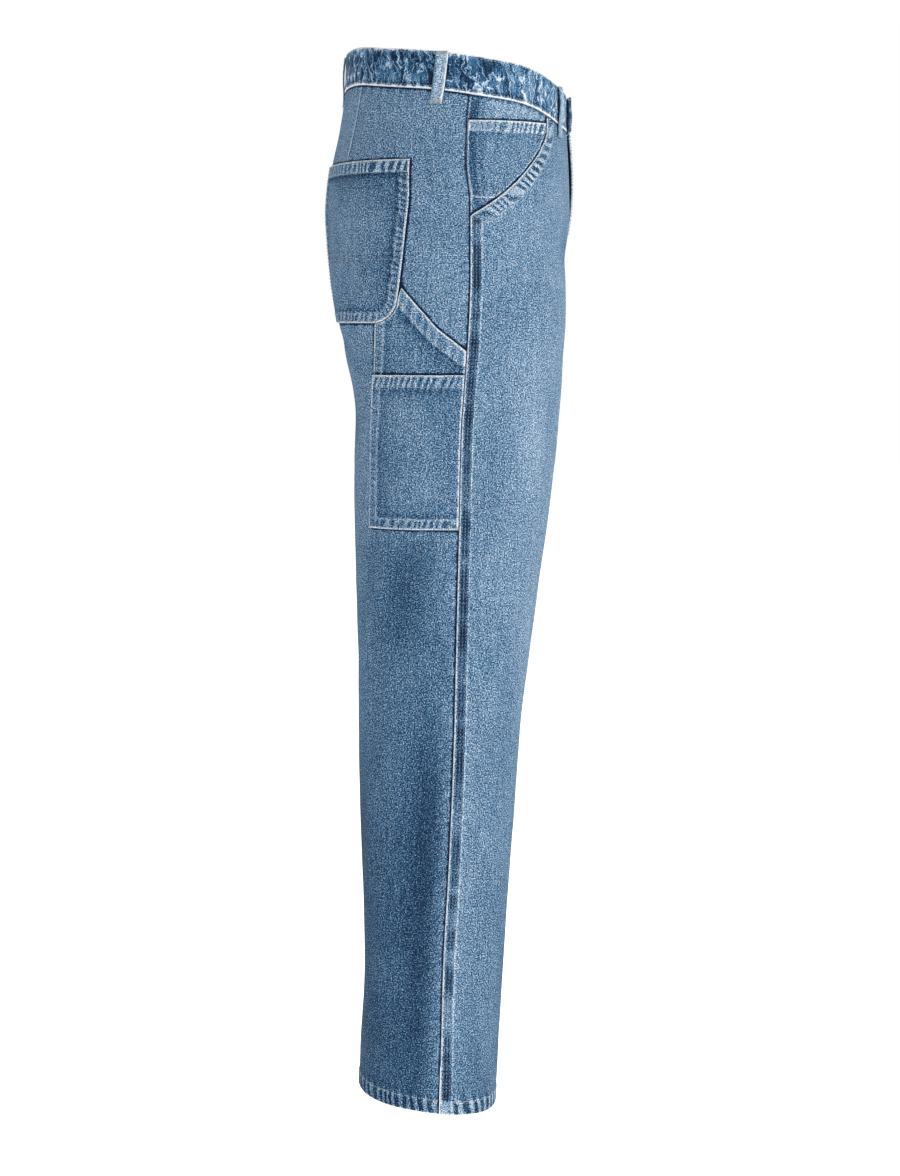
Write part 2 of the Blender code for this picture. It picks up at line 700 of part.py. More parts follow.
def pocket_outline(grow=0.0):
    """Back pocket: a straight top, sides that draw in, and rounded lower corners."""
    (near_top, near_bottom), (far_top, far_bottom) = POCKET_SIDES
    corner = POCKET_CORNER
    outline = [(far_top - grow, POCKET_TOP + grow), (near_top + grow, POCKET_TOP + grow)]
    for turn in np.radians((0, 22.5, 45, 67.5, 90)):
        outline.append((near_bottom - corner + (corner + grow) * np.cos(turn),
                        POCKET_BOTTOM + corner - (corner + grow) * np.sin(turn)))
    for turn in np.radians((90, 67.5, 45, 22.5, 0)):
        outline.append((far_bottom + corner - (corner + grow) * np.cos(turn),
                        POCKET_BOTTOM + corner - (corner + grow) * np.sin(turn)))
    return outline


def back_pocket(skin):
    return cloth("back_pocket_" + skin.side, skin, pocket_outline(), SEAM, SEAM + PATCH,
                 material("mid_denim", MID_DENIM, 0.9))


def tool_pocket(skin):
    """Double pocket between the back pocket and the side seam: the under patch has the slanted mouth,
    the over patch a level one."""
    near = -0.0008
    mouth_width, mouth_height, seam_height = TOOL_MOUTH
    under = [(near, TOOL_BOTTOM), (TOOL_SIDE, TOOL_BOTTOM)]
    shape = pocket_outline(BACK_POCKET_CLEARANCE)
    along = [p for p in shape[2:7] if p[0] > TOOL_SIDE and p[1] < mouth_height - 0.003]
    under.append((TOOL_SIDE, POCKET_BOTTOM - BACK_POCKET_CLEARANCE))
    under += along[::-1]
    under.append((mouth_width, mouth_height))
    under.append((-0.030, -0.2370))
    under.append((near, seam_height))
    looks = material("mid_denim", MID_DENIM, 0.9)
    cloth("tool_pocket_under", skin, under, SEAM, SEAM + PATCH, looks)
    over = [(near, TOOL_BOTTOM), (TOOL_SIDE, TOOL_BOTTOM), (TOOL_SIDE, TOOL_OVER_TOP), (near, TOOL_OVER_TOP)]
    level = SEAM * 2 + PATCH
    cloth("tool_pocket_over", skin, over, level, level + PATCH, looks)


def strip_outline(skin, from_end, to_end, top_share, bottom):
    """An upright strip across the middle of the front, measured from the left side's end."""
    top = band_seam(top_share) - SEAM
    heights = [h for h in skin.heights if bottom < h < top]
    heights = [top] + heights + [bottom]
    one = [(skin.end_width(h) + from_end, h) for h in heights]
    two = [(skin.end_width(h) + to_end, h) for h in heights[::-1]]
    return one + two


def fly_closing(left):
    """What closes the fly behind the flap: the zip's tape with its slider, and the shield behind it."""
    tape_level = -CLOTH - SEAM
    cloth("zip_tape", left, strip_outline(left, -0.020, 0.010, 1.0, FLY_BOTTOM + 0.012),
          tape_level - 0.0010, tape_level, material("tape", TAPE, 0.8))
    shield_level = tape_level - 0.0010 - SEAM
    cloth("fly_shield", left, strip_outline(left, -0.034, 0.016, 1.0, FLY_BOTTOM + 0.004),
          shield_level - PATCH, shield_level, material("dark_denim", DARK_DENIM, 0.9))
    inner = []
    outer = []
    for height in (-0.050, -0.056, -0.062):
        ends = [left.end_width(height) + aside for aside in (-0.0098, -0.0058, -0.0018)]
        inner.append([left.place(w, height, tape_level + 0.0003) for w in ends])
        outer.append([left.place(w, height, tape_level + 0.0018) for w in ends])
    slab("zip_slider", inner, outer, material("brass", BRASS, 0.35, 1.0))


def button(left):
    """Plain domed shank button over the lap of the waistband."""
    width = left.end_width(-0.024)
    centre, normal = left.spot(*left.grid_place(width, -0.024))
    base = BAND_STANDS_OUT + 0.0017 + 0.0004
    profile = ((0.0030, base), (0.0030, base + 0.0012), (BUTTON_RADIUS, base + 0.0012),
               (BUTTON_RADIUS, base + 0.0024), (BUTTON_RADIUS * 0.80, base + 0.0034),
               (BUTTON_RADIUS * 0.40, base + 0.0040))
    sides = 20
    across = np.cross(normal, (0, 0, 1))
    across /= np.linalg.norm(across)
    up = np.cross(across, normal)
    vertices = [centre + normal * base]
    for radius, level in profile:
        for k in range(sides):
            turn = 2 * np.pi * k / sides
            vertices.append(centre + normal * level + radius * (across * np.cos(turn) + up * np.sin(turn)))
    vertices.append(centre + normal * (base + 0.0042))
    last = len(vertices) - 1
    triangles = []
    for k in range(sides):
        after = (k + 1) % sides
        triangles.append((0, 1 + after, 1 + k))
        for ring_number in range(len(profile) - 1):
            a = 1 + ring_number * sides
            triangles.append((a + k, a + after, a + sides + after))
            triangles.append((a + k, a + sides + after, a + sides + k))
        a = 1 + (len(profile) - 1) * sides
        triangles.append((a + k, a + after, last))
    add_object("waistband_button", vertices, triangles, material("brass", BRASS, 0.35, 1.0))


clear_scene()
right_skin = Skin("right")
left_skin = Skin("left")
left_skin.lap_over(right_skin)
for one_skin in (right_skin, left_skin):
    front_panel(one_skin)
    back_panel(one_skin)
    pocket_facing(one_skin)
    back_pocket(one_skin)
    belt_loop("belt_loop_side_" + one_skin.side, one_skin, -0.0267, -0.0055, 0.0270)
    belt_loop("belt_loop_front_" + one_skin.side, one_skin, 0.1215, 0.0055, 0.0000)
waistband(right_skin, left_skin)
belt_loop("belt_loop_back", right_skin, right_skin.end_width(0.02, False), 0.0, 0.0360, left_skin)
coin_pocket(right_skin)
tool_pocket(right_skin)
fly_closing(left_skin)
button(left_skin)
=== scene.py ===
"""The looks of the carpenter pants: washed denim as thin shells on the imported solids' form, with the
creases, seams, stitching and wear of the real garment.

Places on the cloth are given as a pattern maker gives them, in metres: the width along the cloth from the
side seam, plus to the front and minus to the back, and the height. The wearer's right is -X.
"""
import bpy
import numpy as np
from mathutils.geometry import delaunay_2d_cdt
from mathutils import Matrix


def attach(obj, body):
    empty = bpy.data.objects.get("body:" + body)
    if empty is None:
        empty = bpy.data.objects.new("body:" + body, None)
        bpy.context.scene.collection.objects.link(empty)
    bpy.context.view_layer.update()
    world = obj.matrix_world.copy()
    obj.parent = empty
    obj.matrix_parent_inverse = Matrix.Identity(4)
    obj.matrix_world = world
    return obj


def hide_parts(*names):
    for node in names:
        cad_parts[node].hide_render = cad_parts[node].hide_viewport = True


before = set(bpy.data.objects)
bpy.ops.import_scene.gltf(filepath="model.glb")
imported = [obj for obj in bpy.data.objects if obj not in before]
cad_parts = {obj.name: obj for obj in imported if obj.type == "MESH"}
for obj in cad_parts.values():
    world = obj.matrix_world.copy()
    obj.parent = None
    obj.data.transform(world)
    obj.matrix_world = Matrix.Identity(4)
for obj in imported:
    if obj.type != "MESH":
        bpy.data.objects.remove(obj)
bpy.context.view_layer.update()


# The legs. Each is a front and a back cut from washed denim, joined by a felled side seam and inseam,
# with a turned-up hem. Both keep the filled-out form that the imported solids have, folds included.
HEIGHT, OUTER, FRONT, BACK, INNER_FRONT, INNER_BACK, MIDDLE, SIDE_SEAM = range(8)
SECTIONS = np.array([
    # height, outer, front, back, inner front, inner back, middle, side seam
    (0.045, 0.1490, -0.1060, 0.1115, 0.1490, 0.1490, 0.000, -0.0120),
    (0.000, 0.1520, -0.1100, 0.1130, 0.1520, 0.1520, 0.000, -0.0120),
    (-0.040, 0.1580, -0.1105, 0.1185, 0.1580, 0.1580, 0.000, -0.0090),
    (-0.080, 0.1670, -0.1120, 0.1268, 0.1600, 0.1540, 0.000, -0.0080),
    (-0.120, 0.1740, -0.1125, 0.1308, 0.1350, 0.1300, 0.000, -0.0115),
    (-0.160, 0.1785, -0.1095, 0.1272, 0.0880, 0.0860, 0.001, -0.0115),
    (-0.190, 0.1800, -0.1075, 0.1235, 0.0460, 0.0460, 0.002, -0.0115),
    (-0.210, 0.1805, -0.1066, 0.1208, 0.0230, 0.0220, 0.003, -0.0110),
    (-0.225, 0.1805, -0.1060, 0.1180, 0.0080, 0.0075, 0.004, -0.0105),
    (-0.235, 0.1805, -0.1055, 0.1162, 0.0000, 0.0000, 0.004, -0.0100),
    (-0.260, 0.1800, -0.1034, 0.1118, -0.0015, -0.0015, 0.005, -0.0085),
    (-0.300, 0.1785, -0.1012, 0.1045, -0.0030, -0.0030, 0.007, -0.0055),
    (-0.340, 0.1770, -0.0975, 0.1022, -0.0050, -0.0050, 0.009, -0.0030),
    (-0.425, 0.1745, -0.0882, 0.1005, -0.0120, -0.0120, 0.012, -0.0010),
    (-0.505, 0.1720, -0.0774, 0.0990, -0.0180, -0.0180, 0.014, 0.0010),
    (-0.555, 0.1715, -0.0702, 0.0988, -0.0210, -0.0210, 0.016, 0.0022),
    (-0.640, 0.1715, -0.0605, 0.0984, -0.0250, -0.0250, 0.019, 0.0045),
    (-0.750, 0.1720, -0.0549, 0.0966, -0.0280, -0.0280, 0.022, 0.0090),
    (-0.850, 0.1730, -0.0487, 0.0950, -0.0300, -0.0300, 0.026, 0.0145),
    (-0.930, 0.1735, -0.0432, 0.0962, -0.0310, -0.0310, 0.029, 0.0165),
    (-1.010, 0.1735, -0.0365, 0.0978, -0.0320, -0.0320, 0.031, 0.0185),
])
CROTCH = -0.235
CORNER_FULLNESS = 0.10
MIDDLE_GAP = 0.0002
INSEAM_TURN = 0.14
INSEAM_RUN = 0.165
WAIST_TOP = np.array([
    # share of the way to the middle of the front, or back, and height
    (-1.00, 0.0360),
    (-0.70, 0.0365),
    (-0.40, 0.0310),
    (-0.18, 0.0270),
    (0.07, 0.0205),
    (0.27, 0.0160),
    (0.41, 0.0110),
    (0.59, 0.0015),
    (0.72, -0.0030),
    (1.00, -0.0055),
])
BAND_HEIGHT = 0.037
HEM_AT_SIDE = -0.9915
HEM_SLOPE = 0.13
HEM_SIDE_Y = 0.018
HEM_DEPTH = 0.013
CLOTH = 0.0016
SEAM = 0.0003
FLY_BOTTOM = -0.170
FLY_LAP = 0.008
FELL = 0.0105             # width of the felled side seam
SCOOP = np.array([
    # width and height of the scooped pocket mouth, from the waist to the side seam
    (0.0950, -0.010), (0.0950, -0.047), (0.0841, -0.065), (0.0623, -0.087),
    (0.0338, -0.109), (0.0131, -0.123), (0.0002, -0.1305),
])
FOLDS = {
    "right": (
        # top width, top height, bottom width, bottom height, half width, rise
        (-0.046, -0.435, -0.060, -0.545, 0.022, -0.0035),
        (0.004, -0.570, 0.000, -0.990, 0.017, 0.0022),
        (-0.024, -0.590, -0.020, -0.990, 0.017, -0.0038),
        (0.070, -0.240, 0.071, -0.400, 0.022, 0.0018),
        (0.108, -0.690, 0.096, -0.990, 0.022, -0.0028),
        (-0.215, -0.265, -0.120, -0.345, 0.026, -0.0032),
        (-0.110, -0.640, -0.125, -0.930, 0.026, -0.0030),
        (0.215, -0.190, 0.120, -0.150, 0.020, -0.0022),
        (0.190, -0.440, 0.160, -0.640, 0.024, -0.0030),
        (-0.200, -0.480, -0.190, -0.700, 0.024, 0.0024),
    ),
    "left": (
        # top width, top height, bottom width, bottom height, half width, rise
        (-0.052, -0.400, -0.064, -0.520, 0.024, -0.0032),
        (0.008, -0.600, 0.004, -0.990, 0.018, 0.0020),
        (-0.028, -0.620, -0.022, -0.990, 0.018, -0.0034),
        (0.078, -0.260, 0.074, -0.430, 0.024, 0.0020),
        (0.100, -0.720, 0.104, -0.990, 0.022, -0.0025),
        (-0.205, -0.275, -0.130, -0.330, 0.026, -0.0030),
        (-0.118, -0.610, -0.112, -0.880, 0.026, -0.0032),
        (0.210, -0.200, 0.130, -0.165, 0.022, -0.0024),
        (0.180, -0.470, 0.170, -0.660, 0.024, -0.0028),
        (-0.210, -0.500, -0.180, -0.720, 0.024, 0.0022),
    ),
}
CREASES = {
    "right": (
        # the smaller creases, in the same columns
        (-0.020, -0.525, -0.004, -0.600, 0.007, -0.0010),
        (-0.080, -0.432, -0.108, -0.520, 0.010, -0.0010),
        (-0.015, -0.437, -0.030, -0.500, 0.008, 0.0007),
        (0.030, -0.300, 0.036, -0.420, 0.010, -0.0007),
        (0.100, -0.290, 0.096, -0.440, 0.011, -0.0009),
        (0.052, -0.560, 0.060, -0.700, 0.013, -0.0009),
        (0.085, -0.500, 0.080, -0.620, 0.010, 0.0008),
        (-0.062, -0.620, -0.056, -0.740, 0.011, 0.0008),
        (-0.084, -0.760, -0.078, -0.930, 0.012, -0.0010),
        (0.050, -0.820, 0.044, -0.960, 0.011, 0.0008),
        (-0.150, -0.250, -0.105, -0.285, 0.008, -0.0011),
        (-0.205, -0.235, -0.135, -0.262, 0.010, -0.0014),
        (-0.240, -0.285, -0.180, -0.330, 0.011, -0.0013),
        (-0.160, -0.370, -0.150, -0.520, 0.013, 0.0012),
        (-0.130, -0.540, -0.142, -0.660, 0.011, -0.0010),
        (-0.170, -0.740, -0.166, -0.920, 0.012, -0.0012),
        (0.268, -0.222, 0.205, -0.232, 0.008, -0.0013),
        (0.255, -0.196, 0.180, -0.168, 0.009, -0.0014),
        (0.240, -0.262, 0.196, -0.290, 0.009, -0.0012),
        (0.150, -0.330, 0.140, -0.470, 0.012, 0.0010),
        (0.150, -0.560, 0.140, -0.640, 0.010, -0.0009),
        (0.205, -0.520, 0.180, -0.560, 0.010, -0.0010),
        (0.150, -0.740, 0.146, -0.930, 0.012, 0.0010),
        (0.140, -0.080, 0.150, -0.150, 0.012, -0.0007),
        (-0.120, -0.020, -0.135, -0.070, 0.006, -0.0008),
        (-0.030, -0.040, -0.034, -0.110, 0.009, -0.0006),
    ),
    "left": (
        # the smaller creases, in the same columns
        (-0.024, -0.490, -0.008, -0.570, 0.008, -0.0009),
        (-0.086, -0.360, -0.110, -0.470, 0.011, -0.0011),
        (-0.020, -0.300, -0.034, -0.390, 0.009, 0.0008),
        (0.034, -0.280, 0.040, -0.410, 0.010, -0.0008),
        (0.106, -0.300, 0.098, -0.450, 0.012, -0.0009),
        (0.056, -0.580, 0.062, -0.710, 0.012, -0.0009),
        (0.090, -0.480, 0.083, -0.610, 0.010, 0.0008),
        (-0.064, -0.600, -0.058, -0.730, 0.011, 0.0008),
        (-0.088, -0.740, -0.080, -0.920, 0.012, -0.0011),
        (0.054, -0.800, 0.046, -0.950, 0.011, 0.0008),
        (-0.156, -0.246, -0.110, -0.278, 0.008, -0.0011),
        (-0.210, -0.238, -0.140, -0.270, 0.010, -0.0013),
        (-0.236, -0.296, -0.176, -0.345, 0.011, -0.0012),
        (-0.166, -0.380, -0.152, -0.540, 0.013, 0.0011),
        (-0.135, -0.560, -0.146, -0.680, 0.011, -0.0010),
        (-0.174, -0.750, -0.168, -0.930, 0.012, -0.0011),
        (0.262, -0.226, 0.200, -0.240, 0.008, -0.0012),
        (0.236, -0.270, 0.190, -0.300, 0.009, -0.0012),
        (0.154, -0.340, 0.142, -0.480, 0.012, 0.0010),
        (0.148, -0.570, 0.140, -0.650, 0.010, -0.0009),
        (0.200, -0.530, 0.176, -0.575, 0.010, -0.0010),
        (0.152, -0.750, 0.146, -0.930, 0.012, 0.0010),
        (0.138, -0.080, 0.146, -0.140, 0.012, -0.0007),
        (-0.036, -0.040, -0.040, -0.110, 0.009, -0.0006),
    ),
}


def smooth_table(keys, values, at):
    """Read a table between its rows with a curve that never overshoots. Keys rise."""
    steps = np.diff(values) / np.diff(keys)
    slopes = np.zeros(len(values))
    slopes[0] = steps[0]
    slopes[-1] = steps[-1]
    for k in range(1, len(values) - 1):
        product = steps[k - 1] * steps[k]
        if product > 0:
            slopes[k] = 2 * product / (steps[k - 1] + steps[k])
    at = np.clip(at, keys[0], keys[-1])
    k = np.clip(np.searchsorted(keys, at) - 1, 0, len(keys) - 2)
    run = keys[k + 1] - keys[k]
    t = (at - keys[k]) / run
    start = values[k] * (1 + 2 * t) * (1 - t) ** 2 + slopes[k] * run * t * (1 - t) ** 2
    end = values[k + 1] * t * t * (3 - 2 * t) + slopes[k + 1] * run * t * t * (t - 1)
    return start + end


def section(height, column):
    return smooth_table(SECTIONS[::-1, HEIGHT], SECTIONS[::-1, column], height)


def ease(low, high, at):
    t = np.clip((at - low) / (high - low), 0, 1)
    return t * t * (3 - 2 * t)


def ring(height, angle):
    """A point of the right half's section. Angle 0 is the outermost point, plus goes to the front."""
    in_front = angle >= 0
    outer = section(height, OUTER)
    inner = np.where(in_front, section(height, INNER_FRONT), section(height, INNER_BACK))
    middle = section(height, MIDDLE)
    reach = np.where(in_front, middle - section(height, FRONT), section(height, BACK) - middle)
    x = (inner - outer) / 2 - (inner + outer) / 2 * np.cos(angle) * (
        1 + CORNER_FULLNESS * np.sin(angle) ** 2)
    y = middle - reach * np.sin(angle) * (1 + CORNER_FULLNESS * np.cos(angle) ** 2)
    return x, y


def end_angle(height, direction):
    """The angle, in front or behind, where the section reaches the middle plane."""
    low = np.full(np.shape(height), np.pi / 3)
    high = np.full(np.shape(height), np.pi)
    for _ in range(30):
        half = (low + high) / 2
        short = ring(height, half * direction)[0] < -MIDDLE_GAP
        low = np.where(short, half, low)
        high = np.where(short, high, half)
    return low


def skin_rows(heights, shares):
    """Points of the right half. Share -1 is the middle of the back or the inseam, 0 the side seam and 1
    the middle of the front or the inseam."""
    height = heights[:, None]
    share = shares[None, :]
    turn = INSEAM_TURN * ease(0, INSEAM_RUN, CROTCH - height)
    middle = section(height, MIDDLE)
    reach = (middle - section(height, FRONT)) * (1 + CORNER_FULLNESS)
    side = np.arcsin((middle - section(height, SIDE_SEAM)) / reach)
    front_end = end_angle(height, 1) - turn
    back_end = end_angle(height, -1) + turn
    angle = np.where(share >= 0, side + share * (front_end - side), side + share * (back_end + side))
    angle = np.where(angle < -np.pi, angle + 2 * np.pi, angle)
    x, y = ring(height, angle)
    return np.stack([x, y, np.broadcast_to(height, x.shape)], axis=-1)


def patchy(across, along, seed):
    """Smooth noise from -1 to 1 that changes over about one unit."""
    column = np.floor(across)
    row = np.floor(along)
    u = across - column
    v = along - row
    u = u * u * (3 - 2 * u)
    v = v * v * (3 - 2 * v)

    def corner(i, j):
        value = np.sin((column + i) * 127.1 + (row + j) * 311.7 + seed * 74.7) * 43758.5453
        return (value - np.floor(value)) * 2 - 1

    upper = corner(0, 0) * (1 - u) + corner(1, 0) * u
    lower = corner(0, 1) * (1 - u) + corner(1, 1) * u
    return upper * (1 - v) + lower * v


def fold_rise(width, height, folds):
    """Height of the folds at a place: each is a soft ridge or trough that fades at both ends."""
    total = np.zeros(np.shape(width))
    for top_width, top_height, bottom_width, bottom_height, half_width, rise in folds:
        along = np.array((bottom_width - top_width, bottom_height - top_height))
        length = np.hypot(*along)
        along = along / length
        from_top = ((width - top_width) * along[0] + (height - top_height) * along[1]) / length
        aside = (width - top_width) * along[1] - (height - top_height) * along[0]
        fade = ease(-0.1, 0.25, from_top) * ease(-0.1, 0.25, 1 - from_top)
        total = total + rise * fade * np.exp(-(aside / half_width) ** 2)
    return total


def crumple(width, height, seed):
    """Low unevenness of worn cloth, about half a millimetre each way."""
    broad = patchy(width / 0.055, height / 0.080, seed)
    middle = patchy(width / 0.024, height / 0.040, seed + 1)
    fine = patchy(width / 0.011, height / 0.018, seed + 2)
    return 0.00055 * broad + 0.00028 * middle + 0.00010 * fine


class Skin:
    """The outer surface of one side, as a fine grid of equal steps along each row."""

    TOP = 0.046
    BOTTOM = -1.011
    ROWS = 530
    HALF = 200

    def __init__(self, side):
        self.side = side
        self.sign = 1.0 if side == "right" else -1.0
        self.heights = np.linspace(self.TOP, self.BOTTOM, self.ROWS)
        shares = np.linspace(-1, 1, 2 * self.HALF + 1)
        spots = skin_rows(self.heights, shares)
        steps = np.linalg.norm(np.diff(spots, axis=1), axis=2)
        arcs = np.concatenate([np.zeros((self.ROWS, 1)), np.cumsum(steps, axis=1)], axis=1)
        arcs = arcs - arcs[:, self.HALF:self.HALF + 1]
        self.arcs = arcs
        self.front_width = arcs[:, -1]
        self.back_width = -arcs[:, 0]
        self.widths = np.where(shares < 0, shares * self.back_width[:, None],
                               shares * self.front_width[:, None])
        self.shares = np.empty(arcs.shape)
        points = np.empty(spots.shape)
        for j in range(self.ROWS):
            self.shares[j] = np.interp(self.widths[j], arcs[j], shares)
            for axis in range(3):
                points[j, :, axis] = np.interp(self.widths[j], arcs[j], spots[j, :, axis])
        heights = np.broadcast_to(self.heights[:, None], self.widths.shape)
        self.fold = fold_rise(self.widths, heights, FOLDS[side] + CREASES[side])
        rise = self.fold + crumple(self.widths, heights, 3 if side == "right" else 23)
        from_end = np.minimum(self.widths[:, -1:] - self.widths, self.widths - self.widths[:, :1])
        rise = rise * ease(0, 0.012, from_end)
        points = points + self.find_normals(points) * rise[..., None]
        self.normals = self.find_normals(points)
        mirror = np.array((self.sign, 1.0, 1.0))
        self.points = points * mirror
        self.normals = self.normals * mirror

    def find_normals(self, points):
        down = np.gradient(points, axis=0)
        across = np.gradient(points, axis=1)
        normals = np.cross(down, across)
        return normals / np.linalg.norm(normals, axis=2, keepdims=True)

    def end(self, height, front=True):
        """Width of the last place before the middle or the inseam."""
        table = self.front_width if front else -self.back_width
        return np.interp(-np.asarray(height), -self.heights, table)

    def sample(self, table, height, column):
        """A table's value at a height and a column, with fractions."""
        row = (self.TOP - np.asarray(height, float)) / (self.TOP - self.BOTTOM) * (self.ROWS - 1)
        row = np.clip(row, 0, self.ROWS - 1.001)
        column = np.clip(column, 0, 2 * self.HALF - 0.001)
        row, column = np.broadcast_arrays(row, column)
        j = row.astype(int)
        i = column.astype(int)
        v = row - j
        u = column - i
        if table.ndim == 3:
            u = u[..., None]
            v = v[..., None]
        upper = table[j, i] * (1 - u) + table[j, i + 1] * u
        lower = table[j + 1, i] * (1 - u) + table[j + 1, i + 1] * u
        return upper * (1 - v) + lower * v

    def read(self, table, width, height):
        """A table's value at places given by width and height."""
        width = np.asarray(width, float)
        half = np.where(width >= 0, self.end(height), -self.end(height, False))
        return self.sample(table, height, self.HALF * (1 + width / half))

    def width_at_share(self, share, height):
        return self.sample(self.arcs, height, self.HALF * (1 + np.asarray(share, float)))

    def place(self, width, height, out=0.0):
        """Points on the cloth, moved out. Past the middle of the front they lie on the other side."""
        width, height = np.broadcast_arrays(np.asarray(width, float), np.asarray(height, float))
        end = self.end(height)
        beyond = (width > end) & (height > CROTCH)
        width = np.where(beyond, 2 * end - width, width)
        point = self.read(self.points, width, height)
        normal = self.read(self.normals, width, height)
        flip = np.where(beyond, -1.0, 1.0)
        point[..., 0] *= flip
        normal[..., 0] *= flip
        normal = normal / np.linalg.norm(normal, axis=-1, keepdims=True)
        return point + normal * np.asarray(out)[..., None], normal

    def band_seam(self, width, height=0.0):
        """Height of the line where the panels meet the waistband."""
        share = self.read(self.shares, width, height)
        return smooth_table(WAIST_TOP[:, 0], WAIST_TOP[:, 1], share) - BAND_HEIGHT

    def hem(self, width):
        """Height of the hem, which rises to the back."""
        depth = self.read(self.points, width, HEM_AT_SIDE)[..., 1]
        return HEM_AT_SIDE + HEM_SLOPE * (depth - HEM_SIDE_Y)


def line_distance(line, width, height):
    """Distance from a line of points, and how far along it the nearest point lies."""
    best = np.full(np.shape(width), 9.0)
    run = np.zeros(np.shape(width))
    total = 0.0
    for (w0, h0), (w1, h1) in zip(line[:-1], line[1:]):
        length = np.hypot(w1 - w0, h1 - h0)
        t = np.clip(((width - w0) * (w1 - w0) + (height - h0) * (h1 - h0)) / length ** 2, 0, 1)
        gap = np.hypot(width - w0 - t * (w1 - w0), height - h0 - t * (h1 - h0))
        nearer = gap < best
        best = np.where(nearer, gap, best)
        run = np.where(nearer, total + t * length, run)
        total += length
    return best, run


def puckers(run, distance, pitch, seed, slant=0.22):
    """Cycles and strength of the puckers along a sewn edge: ridges across it, uneven in both."""
    cycles = run / pitch + slant * distance / pitch + 0.80 * patchy(run / (2.3 * pitch), run * 0, seed)
    cycles = cycles + 0.16 * patchy(run / pitch, distance / (0.8 * pitch), seed + 0.5)
    strength = 0.72 + 0.28 * patchy(run / (1.7 * pitch), run * 0 + 5.5, seed)
    return cycles, strength


def ridges(zone):
    cycles, strength = zone
    return np.cos(2 * np.pi * cycles) * strength


def strongest(*zones):
    """One set of puckers from several that meet: each fades out where its neighbour takes over."""
    cycles, strength = zones[0]
    for other_cycles, other_strength in zones[1:]:
        cycles = np.where(other_strength > strength, other_cycles, cycles)
        strength = np.abs(other_strength - strength)
    return cycles, strength


def pale_row_and_shade(distance, at, dark_side=1):
    """Wash of a sewn row: pale along its worn ridge, and painted shade in the hollow on one side."""
    beyond = np.clip((distance - at) * dark_side - 0.0012, 0, 1)
    hollow = np.exp(-beyond / 0.0030) * ((distance - at) * dark_side > 0.0012)
    return 0.50 * np.exp(-((distance - at) / 0.0011) ** 2) - 0.38 * hollow


def finish_values(wash, edge, contact, zone=None):
    """What the denim reads at each point: wash with painted shade and highlight, distances in mm, and the
    puckers' cycles and strength.
    """
    cycles, ropes = zone or (np.zeros(np.shape(wash)), np.zeros(np.shape(wash)))
    return {"wash": wash, "edge": edge, "contact": contact, "cycles": cycles, "ropes": ropes}


class Shade:
    """A socket of a material's nodes, with arithmetic that adds Math nodes."""

    def __init__(self, tree, socket=None):
        self.tree = tree
        self.socket = socket

    def node(self, kind, settings=None, sockets=None, output=0):
        """Any node: its settings are set first, then the values or links of its sockets."""
        made = self.tree.nodes.new(kind)
        for name, value in (settings or {}).items():
            if name == "stops":
                for place, colour in value[1:-1]:
                    made.color_ramp.elements.new(place).color = colour
                for element, (place, colour) in zip(made.color_ramp.elements, value):
                    element.position = place
                    element.color = colour
            else:
                setattr(made, name, value)
        for name, value in (sockets or {}).items():
            if isinstance(value, Shade):
                self.tree.links.new(value.socket, made.inputs[name])
            else:
                made.inputs[name].default_value = value
        return Shade(self.tree, made.outputs[output])

    def math(self, operation, one, two=0.0):
        return self.node("ShaderNodeMath", {"operation": operation}, {0: one, 1: two})

    def __add__(self, other):
        return self.math("ADD", self, other)

    def __radd__(self, other):
        return self.math("ADD", other, self)

    def __sub__(self, other):
        return self.math("SUBTRACT", self, other)

    def __rsub__(self, other):
        return self.math("SUBTRACT", other, self)

    def __mul__(self, other):
        return self.math("MULTIPLY", self, other)

    def __rmul__(self, other):
        return self.math("MULTIPLY", other, self)

    def absolute(self):
        return self.math("ABSOLUTE", self)

    def sine(self):
        return self.math("SINE", self)

    def between(self, low, high):
        """0 below low, 1 above high and smooth between."""
        return self.node("ShaderNodeMapRange", {"interpolation_type": "SMOOTHSTEP"},
                         {"Value": self, "From Min": low, "From Max": high})


DENIM_RAMP = (
    # level of wash and painted shade, and colour
    (0.00, (0.006, 0.013, 0.036, 1.0)),
    (0.18, (0.018, 0.048, 0.110, 1.0)),
    (0.36, (0.042, 0.146, 0.288, 1.0)),
    (0.50, (0.094, 0.250, 0.435, 1.0)),
    (0.64, (0.205, 0.378, 0.548, 1.0)),
    (0.80, (0.480, 0.570, 0.655, 1.0)),
    (1.00, (0.840, 0.865, 0.885, 1.0)),
)


